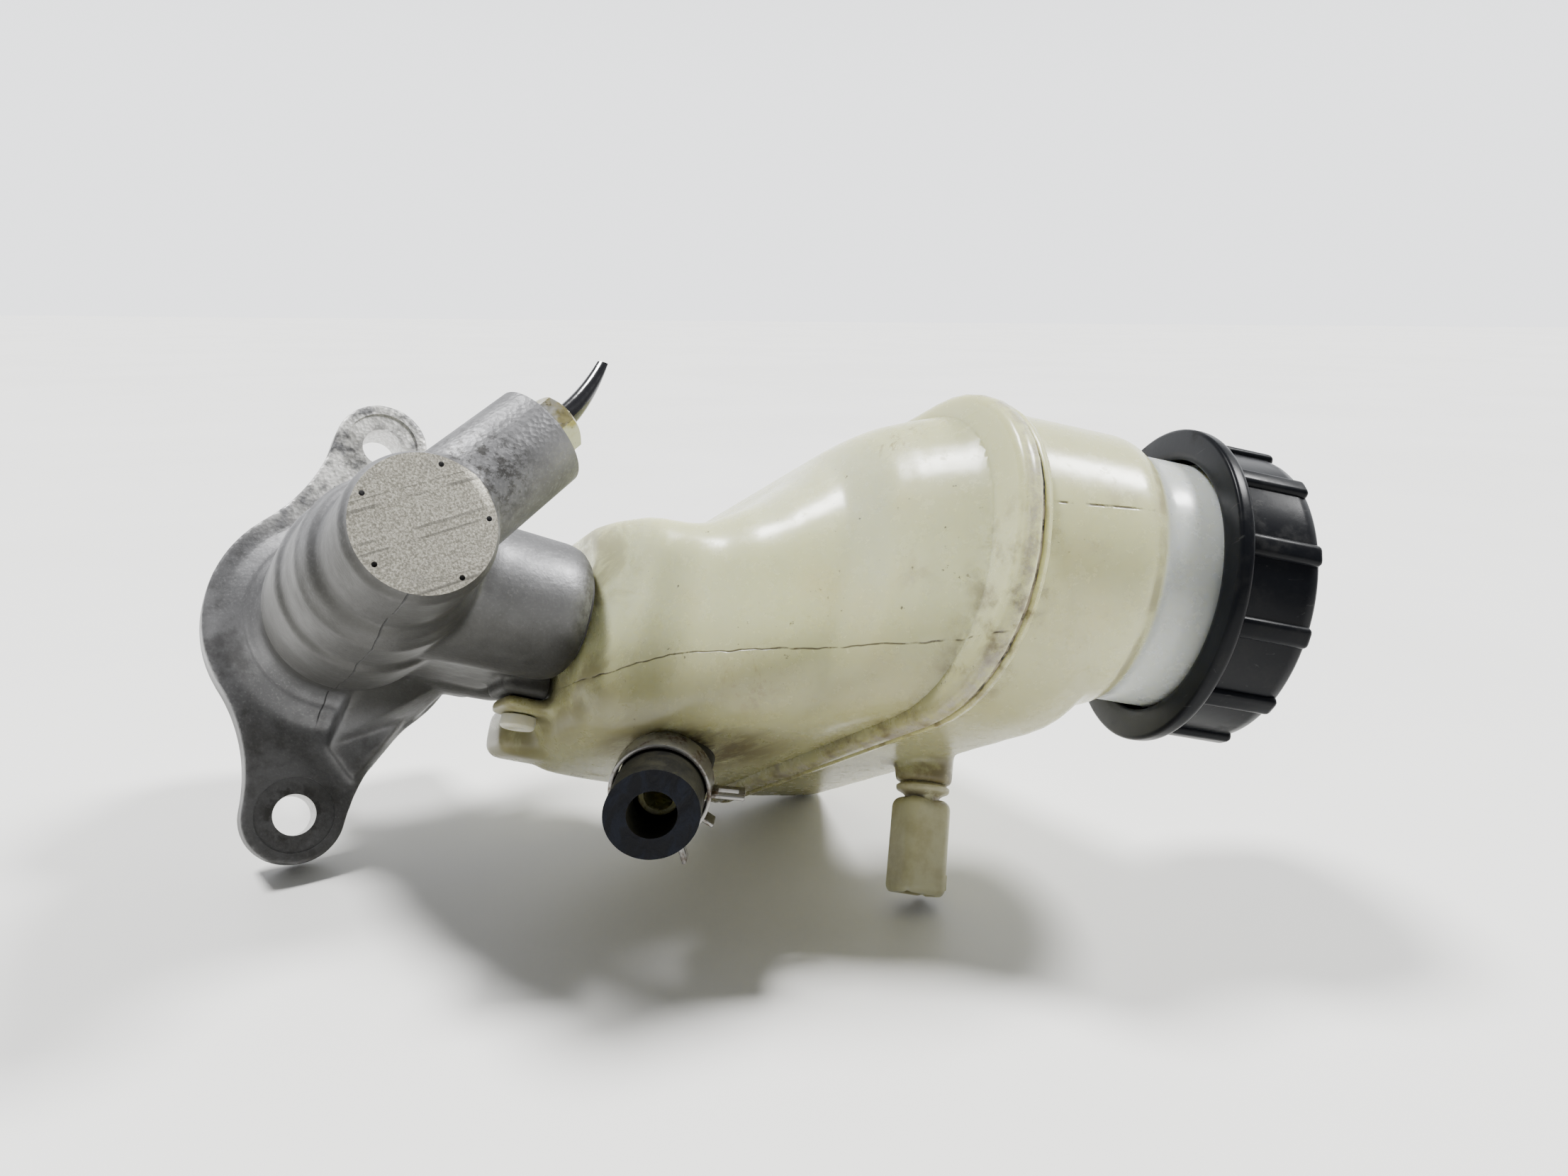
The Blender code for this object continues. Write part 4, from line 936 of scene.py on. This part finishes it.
def make_cap(plastic):
    skirt, ring_r, top, ring = 29.5, 32.3, 19.2, 3.5
    inner = skirt - 2.2
    shell = [(0, top - 0.9), (19, top - 0.9), (20, top), (skirt - 2.2, top), (skirt - 0.5, top - 1.0)]
    shell += [(skirt, top - 3), (skirt, ring + 0.2), (ring_r - 0.3, ring - 0.5), (ring_r, ring - 1.2)]
    shell += [(ring_r, 0.5), (ring_r - 0.5, 0), (inner - 0.2, 0), (inner - 1.3, 0.5), (inner - 1.3, 2)]
    shell += [(inner, 2.6), (inner, top - 2.3), (0, top - 2.3)]
    cap = revolve("cap", rounded(shell, 0.5, 2), CAP_BASE, NECK_AXIS, steps=144)
    ribs = []
    for i in range(12):
        turn = 2 * math.pi * i / 12
        low, high = (skirt - 1.6, -2.1, ring - 1.2), (skirt + 1.15, 2.1, top - 0.9)
        ribs.append(box("rib", low, high, bevel=1.15, at=CAP_BASE, along=NECK_AXIS, turn=turn, segments=4))
    join(cap, merged("ribs", ribs))
    smooth(cap, 40)
    show(cap, plastic, "filler_cap", ["filler_cap"])


def make_cap_seal(rubber):
    profile = [(0, 16.7), (27.0, 16.7), (27.0, 14.8), (19.8, 14.8), (18.8, 11.2), (16.8, 11.2)]
    profile += [(15.8, 15.4), (0, 15.4)]
    seal = revolve("seal_disc", rounded(profile, 0.3, 2), CAP_BASE, NECK_AXIS)
    show(seal, rubber, "cap_seal", ["cap_seal"])


def make_strainer(plastic):
    rim = 9.2
    basket = [(22.5, rim), (22.5, rim - 1.4), (20.4, rim - 1.4), (19.2, rim - 16), (0, rim - 16)]
    basket += [(0, rim - 14.8), (18.1, rim - 14.8), (19.2, rim)]
    strainer = revolve("strainer", basket, CAP_BASE, NECK_AXIS)
    slots = []
    for i in range(24):
        turn = 2 * math.pi * i / 24
        slots.append(box("slot", (15, -1.3, rim - 13), (24, 1.3, rim - 3.4), 0, CAP_BASE, NECK_AXIS, turn))
    cut(strainer, merged("slots", slots))
    smooth(strainer, 30)
    show(strainer, plastic, "root", ["filler_strainer"])


# ---------------------------------------------------------------- level sensor


def make_sensor(plastic, brass_metal, float_foam):
    x, y, z = SENSOR
    neck = [(0, 5.0), (4.0, 5.0), (3.7, 3.4), (4.4, 2.8), (5.7, 2.2), (5.9, 1.2), (4.8, 0.5)]
    neck += [(4.0, -26), (0, -26)]
    housing = revolve("sensor", rounded(neck, 0.3, 2), at=SENSOR, along=Y, steps=48)
    end = SHROUD_END_Y
    shroud = box("shroud", (x - 4.6, y + 3.6, z - 5.6), (x + 4.6, end, z + 5.6), bevel=2.3, segments=6)
    latch = box("latch", (x - 2.2, end - 5.5, z + 4.9), (x + 2.2, end - 1.9, z + 6.8), bevel=0.5)
    rib = box("rail", (x - 4.9, y + 9, z - 1.4), (x - 4.2, end - 1, z + 1.4), bevel=0.3)
    join(housing, shroud, latch, rib)
    mouth = box("mouth", (x - 3.8, y + 9, z - 4.7), (x + 3.8, end + 3, z + 4.7), bevel=0.6)
    cut(housing, mouth, rod("core", 2.4, -24.5, 10, at=SENSOR, along=Y, steps=32))
    smooth(housing, 35)
    show(housing, plastic, "root", ["sensor_housing"])

    fx, fy = 66.0, -18.0
    high = 121.0
    floating = [(10.5, high), (10.5, high - 11), (7.0, high - 11), (7.0, high - 7.2), (4.4, high - 7.2)]
    floating += [(4.4, high - 11), (2.7, high - 11), (2.7, high)]
    ring = revolve("float_ring", rounded(floating, 0.35, 2, closed=True), (fx, fy, 0), Z)
    show(ring, float_foam, "level_float", ["level_float"])
    profile = [(0, 122.5), (4.5, 122.5), (4.5, 121.3), (2.2, 121.3), (2.2, 93), (4.2, 92)]
    profile += [(4.2, 90.6), (0, 90.6)]
    post = revolve("post", rounded(profile, 0.2, 2), (fx, fy, 0), Z)
    show(post, plastic, "root", ["float_post"])
    for i, side in enumerate((-1, 1)):
        low = (x - 0.3, y + 1.3, z + side * 1.1 - 0.25)
        pin = box(f"pin_{i + 1}", low, (x + 0.3, y + 17.5, z + side * 1.1 + 0.25), bevel=0.12, segments=2)
        show(pin, brass_metal, "root", [f"connector_pin_{i + 1}"])


# ---------------------------------------------------------------- hose, clamp, nuts and pipes


def make_hose(outside, cut_face, steel):
    start = -14.0
    bore = HOSE_LENGTH - 8.0
    wall = [(HOSE_R, HOSE_LENGTH + 4), (HOSE_R, 24.0), (HOSE_R - 0.12, 22.9), (HOSE_R - 0.15, 15.6)]
    wall += [(HOSE_R, 14.4), (HOSE_R, start), (5.2, start), (5.2, bore), (4.6, bore + 0.8)]
    wall += [(4.6, HOSE_LENGTH + 4)]
    hose = revolve("hose", wall, at=HOSE_ROOT, along=HOSE_OUT, steps=96)
    slant = (HOSE_OUT + Vector((0.10, 0, 0.16))).normalized()
    cut(hose, box("knife", (-15, -15, 0), (15, 15, 12), at=HOSE_ROOT + HOSE_OUT * HOSE_LENGTH, along=slant))
    outward = Vector((0.10, 0.99, 0)).normalized()
    cut(hose, box("clearance", (-24, -24, -24), (24, 24, 0), at=HOSE_ROOT + outward * 1.0, along=outward))
    smooth(hose, 35)
    show(hose, [outside, cut_face], "root", ["clutch_hose"])
    mouth = HOSE_ROOT + HOSE_OUT * HOSE_LENGTH
    paint_faces(hose, 1, lambda c, n: n.dot(slant) > 0.95 and abs((c - mouth).dot(slant)) < 0.3)

    band = [(HOSE_R + 1.1, 23.0), (HOSE_R + 1.1, 15.5), (HOSE_R + 0.3, 15.5), (HOSE_R + 0.3, 23.0)]
    clamp = revolve("clamp", rounded(band, 0.2, 2, closed=True), HOSE_ROOT, HOSE_OUT, steps=96)
    for angle, low, high, reach in ((106, 17, 22, 7.4), (76, 18, 22, 3.5), (36, 16.5, 20.5, 7.4)):
        turn = math.radians(angle)
        start, end = (HOSE_R + 0.6, -0.45, low), (HOSE_R + reach, 0.45, high)
        join(clamp, box("ear", start, end, 0.25, HOSE_ROOT, HOSE_OUT, turn))
        low, high = (HOSE_R + 2.2, -2, low + 1.7), (HOSE_R + reach - 1.2, 2, high - 1.5)
        cut(clamp, box("ear_slot", low, high, 0.1, HOSE_ROOT, HOSE_OUT, turn))
    smooth(clamp, 35)
    show(clamp, steel, "root", ["hose_clamp"])


def make_line(name, x, reach, zinc_metal, coating):
    """A pipe nut in its port and the stub of pipe that was nipped off above it."""
    hex_r = 5.3 / math.cos(math.radians(30))
    low, top = PORT_LENGTH + 0.3, PORT_LENGTH + 5.9
    at = Vector((x, 0, 0))
    hexagon = [(0, top), (hex_r, top), (hex_r, low), (0, low)]
    nut = revolve(name + "_nut", hexagon, at, PORT_OUT, math.radians(15), steps=6, sharp=20)
    lens = [(0, top), (5.0, top), (hex_r + 0.3, top - 1.1), (hex_r + 0.3, low + 0.7), (5.3, low), (0, low)]
    join(nut, revolve("chamfer", lens, at, PORT_OUT, steps=72), operation="INTERSECT")
    join(nut, rod("shank", 4.7, PORT_LENGTH - 9, low + 0.5, at, PORT_OUT, steps=48))
    cut(nut, rod("way", 2.7, PORT_LENGTH - 12, top + 3, at, PORT_OUT, steps=48))
    smooth(nut, 25)
    show(nut, zinc_metal, "root", [name + "_pipe_nut"])

    bend = Vector((0.02, -0.30, -0.16))
    path = []
    for i in range(49):
        t = i / 48
        late = max(0.0, t - 0.5) / 0.5
        path.append(at + PORT_OUT * (PORT_LENGTH - 8.5 + (15.8 + reach) * t) + bend * reach * late**2)

    def pinch(t):
        late = max(0.0, t - 0.5) / 0.5
        return 2.36 * (1 - 0.50 * late**1.5), 2.36 * (1 - 0.80 * late**1.3)

    pipe = sweep(name + "_pipe", path, pinch, sides=40)
    show(pipe, coating, "root", [name + "_brake_pipe"])


# ---------------------------------------------------------------- inside the bore


def make_bore_parts(aluminium, rubber, steel, plastic):
    groove = 7.2
    front, back = 5.0, -33.6
    primary = [(0, front), (4.6, front), (4.6, 4.5), (9.4, 4.5), (10.2, 3.7), (10.2, 2.2), (groove, 2.2)]
    primary += [(groove, -2.6), (10.2, -2.6), (10.2, -6), (8.6, -7), (8.6, -20)]
    primary += [(10.2, -21), (10.2, -23), (groove, -23)]
    primary += [(groove, -27.6), (10.2, -27.6), (10.2, back + 1), (9.2, back), (5.4, back), (5.2, back + 12)]
    primary += [(0, back + 16)]
    piston = revolve("piston_1", rounded(primary, 0.15, 2), along=X)
    show(piston, aluminium, "primary_piston", ["primary_piston"])
    front, back = 57.0, 37.0
    secondary = [(0, front), (4.6, front), (4.6, 56.5), (9.4, 56.5), (10.2, 55.7), (10.2, 54.6)]
    secondary += [(groove, 54.6), (groove, 50.4), (10.2, 50.4), (10.2, 48.6), (8.6, 48), (8.6, 45.4)]
    secondary += [(10.2, 44.8), (10.2, 43.6), (groove, 43.6), (groove, 39.4)]
    secondary += [(10.2, 39.4), (10.2, back + 0.8), (9.4, back), (0, back)]
    piston = revolve("piston_2", rounded(secondary, 0.15, 2), along=X)
    show(piston, aluminium, "secondary_piston", ["secondary_piston"])

    seats = {"primary_cup": (-2.6, 2.2), "primary_rear_cup": (-27.6, -23)}
    seats |= {"secondary_front_cup": (50.4, 54.6), "secondary_rear_cup": (39.4, 43.6)}
    for node, (low, high) in seats.items():
        low, high = low + 0.3, high - 0.3
        lip = [(10.25, high), (10.25, high - 1.4), (9.35, low), (7.5, low), (7.5, high - 0.8)]
        lip += [(8.2, high - 0.8), (8.6, high - 2), (9.45, high - 2)]
        body = "primary_piston" if node.startswith("primary") else "secondary_piston"
        cup = revolve(node + "_lip", rounded(lip, 0.2, 2, closed=True), along=X)
        show(cup, rubber, body, [node])

    hat = [(8.6, 36.7), (8.6, 35.5), (5.0, 35.5), (5.0, 17.5), (1.9, 17.5), (1.9, 18.7)]
    hat += [(4.0, 18.7), (4.0, 36.7)]
    retainer = revolve("retainer", rounded(hat, 0.25, 2, closed=True), along=X)
    show(retainer, steel, "secondary_piston", ["spring_retainer"])
    pin = [(0, 21.2), (3.2, 21.2), (3.2, 19.0), (1.5, 19.0), (1.5, 5.3), (0, 5.3)]
    pin = revolve("cage_pin", rounded(pin, 0.2, 2), along=X, steps=48)
    show(pin, steel, "primary_piston", ["spring_cage_pin"])

    washer = [(10.1, -33.9), (10.1, -36.5), (6.4, -36.5), (6.4, -33.9)]
    washer = revolve("washer", rounded(washer, 0.2, 2, closed=True), along=X)
    show(washer, steel, "root", ["stop_washer"])
    section = [(11.3, -37.3), (11.3, -38.5), (9.0, -38.5), (9.0, -37.3)]
    ring = revolve("circlip", rounded(section, 0.15, 2, closed=True), along=X)
    cut(ring, box("opening", (-40, -2.5, 7), (-36, 2.5, 13)))
    smooth(ring, 30)
    show(ring, steel, "root", ["snap_ring"])
    sleeve = [(9.6, -39.0), (9.6, -42.5), (7.0, -42.5), (7.0, -39.0)]
    sleeve = revolve("guide_sleeve", rounded(sleeve, 0.4, 3, closed=True), along=X)
    show(sleeve, plastic, "root", ["rod_guide"])
    angles = [2 * math.pi * i / 20 for i in range(20)]
    section = [(16.85 + 1.25 * math.cos(a), -15.25 + 1.25 * math.sin(a)) for a in angles]
    show(revolve("spigot_seal", section, along=X), rubber, "root", ["spigot_o_ring"])


def make_spring(name, node, low, high, turns, steel):
    """A coil between two pieces."""
    start, end = low + 1.25, high - 1.25
    points = []
    for i in range(int(turns * 40) + 1):
        share = i / (turns * 40)
        angle = 2 * math.pi * turns * share
        rise = start + (end - start) * share
        points.append(Vector((rise, 7.2 * math.cos(angle), 7.2 * math.sin(angle))))
    coil = sweep(name, points, lambda t: (0.95, 0.95), sides=14)
    coil.data.transform(PLACE)
    coil.data.materials.append(steel)
    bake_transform(coil)
    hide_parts(node)


# ---------------------------------------------------------------- room


ROOM_DIM, ROOM_BRIGHT = 0.24, 2.5


def make_room():
    floor_paint = Paint("pale_floor", Roughness=0.35)
    wear = floor_paint.noise(0.004, 5, 0.6)
    worn = floor_paint.step(wear, 0.3, 0.7)
    floor_paint.colour(floor_paint.mix(worn, (0.79, 0.785, 0.76), (0.84, 0.835, 0.81)))
    floor_paint.roughness(floor_paint.between(floor_paint.noise(0.02, 5, 0.7), 0.30, 0.45))
    work = bmesh.new()
    bmesh.ops.create_grid(work, x_segments=1, y_segments=1, size=6000)
    floor = made("floor", work)
    floor.data.materials.append(floor_paint.material)

    # The room is bright behind the object, near the horizon, and dim in front and overhead.
    world = bpy.data.worlds.new("studio")
    world.use_nodes = True
    nodes, links = world.node_tree.nodes, world.node_tree.links
    split = nodes.new("ShaderNodeSeparateXYZ")
    links.new(nodes.new("ShaderNodeTexCoord").outputs["Generated"], split.inputs[0])
    strength = nodes.new("ShaderNodeMath")
    strength.operation = "MULTIPLY_ADD"
    strength.inputs[2].default_value = ROOM_DIM
    both = nodes.new("ShaderNodeMath")
    both.operation = "MULTIPLY"
    for i, (axis, dim, bright) in enumerate((("Y", -0.1, 0.5), ("Z", 0.7, 0.15))):
        grade = nodes.new("ShaderNodeMapRange")
        grade.interpolation_type = "SMOOTHSTEP"
        grade.inputs["From Min"].default_value = dim
        grade.inputs["From Max"].default_value = bright
        links.new(split.outputs[axis], grade.inputs["Value"])
        links.new(grade.outputs[0], both.inputs[i])
    links.new(both.outputs[0], strength.inputs[0])
    strength.inputs[1].default_value = ROOM_BRIGHT - ROOM_DIM
    links.new(strength.outputs[0], nodes["Background"].inputs["Strength"])
    nodes["Background"].inputs["Color"].default_value = (0.96, 0.975, 1.0, 1)
    bpy.context.scene.world = world
    windows = (("left_window", (-0.37, 0.15, 0.92), 6.0), ("right_window", (0.6, 0.2, 0.77), 5.4))
    for name, toward, power in windows:
        data = bpy.data.lights.new(name, "SUN")
        data.angle = math.radians(14)
        data.energy = power
        lamp = bpy.data.objects.new(name, data)
        lamp.rotation_euler = Vector(toward).to_track_quat("Z", "Y").to_euler()
        bpy.context.scene.collection.objects.link(lamp)


def make_camera():
    eye = Vector((276.7, 59.3, -28.3)) * MM
    look = Vector((-0.848, -0.296, 0.438)).normalized()
    right = look.cross(Vector((0.207, -0.948, -0.240))).normalized()
    data = bpy.data.cameras.new("camera")
    data.sensor_width = 36.0
    data.lens = 26.04
    data.clip_start = 0.01
    camera = bpy.data.objects.new("camera", data)
    bpy.context.scene.collection.objects.link(camera)
    turn = Matrix((right, right.cross(look), -look)).transposed().to_4x4()
    camera.matrix_world = PLACE @ Matrix.Translation(eye) @ turn
    bpy.context.scene.camera = camera


# ---------------------------------------------------------------- assembly

milky = milky_plastic()
white = nylon("white_nylon", (0.50, 0.485, 0.31), (0.40, 0.37, 0.21))
pale = nylon("pale_nylon", (0.70, 0.69, 0.58), (0.62, 0.60, 0.46))
rubber = plain_rubber()
steel = dark_steel()
spring_wire = bright_steel()
turned_metal = machined_metal()
zinc_metal, coating = zinc(), pipe_paint()

make_casting()
make_lower_shell(milky, seam_dirt())
make_upper_shell(milky)
make_grommets(rubber)
make_pin(pale)
make_cap(black_plastic())
make_cap_seal(rubber)
make_strainer(white)
make_sensor(white, brass(), foam())
make_hose(hose_rubber(), cut_rubber(), steel)
make_line("front", PORT_X[0], 12.0, zinc_metal, coating)
make_line("rear", PORT_X[1], 7.0, zinc_metal, coating)
make_bore_parts(turned_metal, rubber, spring_wire, white)
make_spring("coil_1", "primary_spring", 5.0, 35.5, 5.5, spring_wire)
make_spring("coil_2", "secondary_spring", 57.0, 82.0, 4.5, spring_wire)

for node, finish in {"reed_switch": steel, "float_magnet": steel, "terminal_block": white}.items():
    NODES[node].data.materials.clear()
    NODES[node].data.materials.append(finish)

make_room()
make_camera()
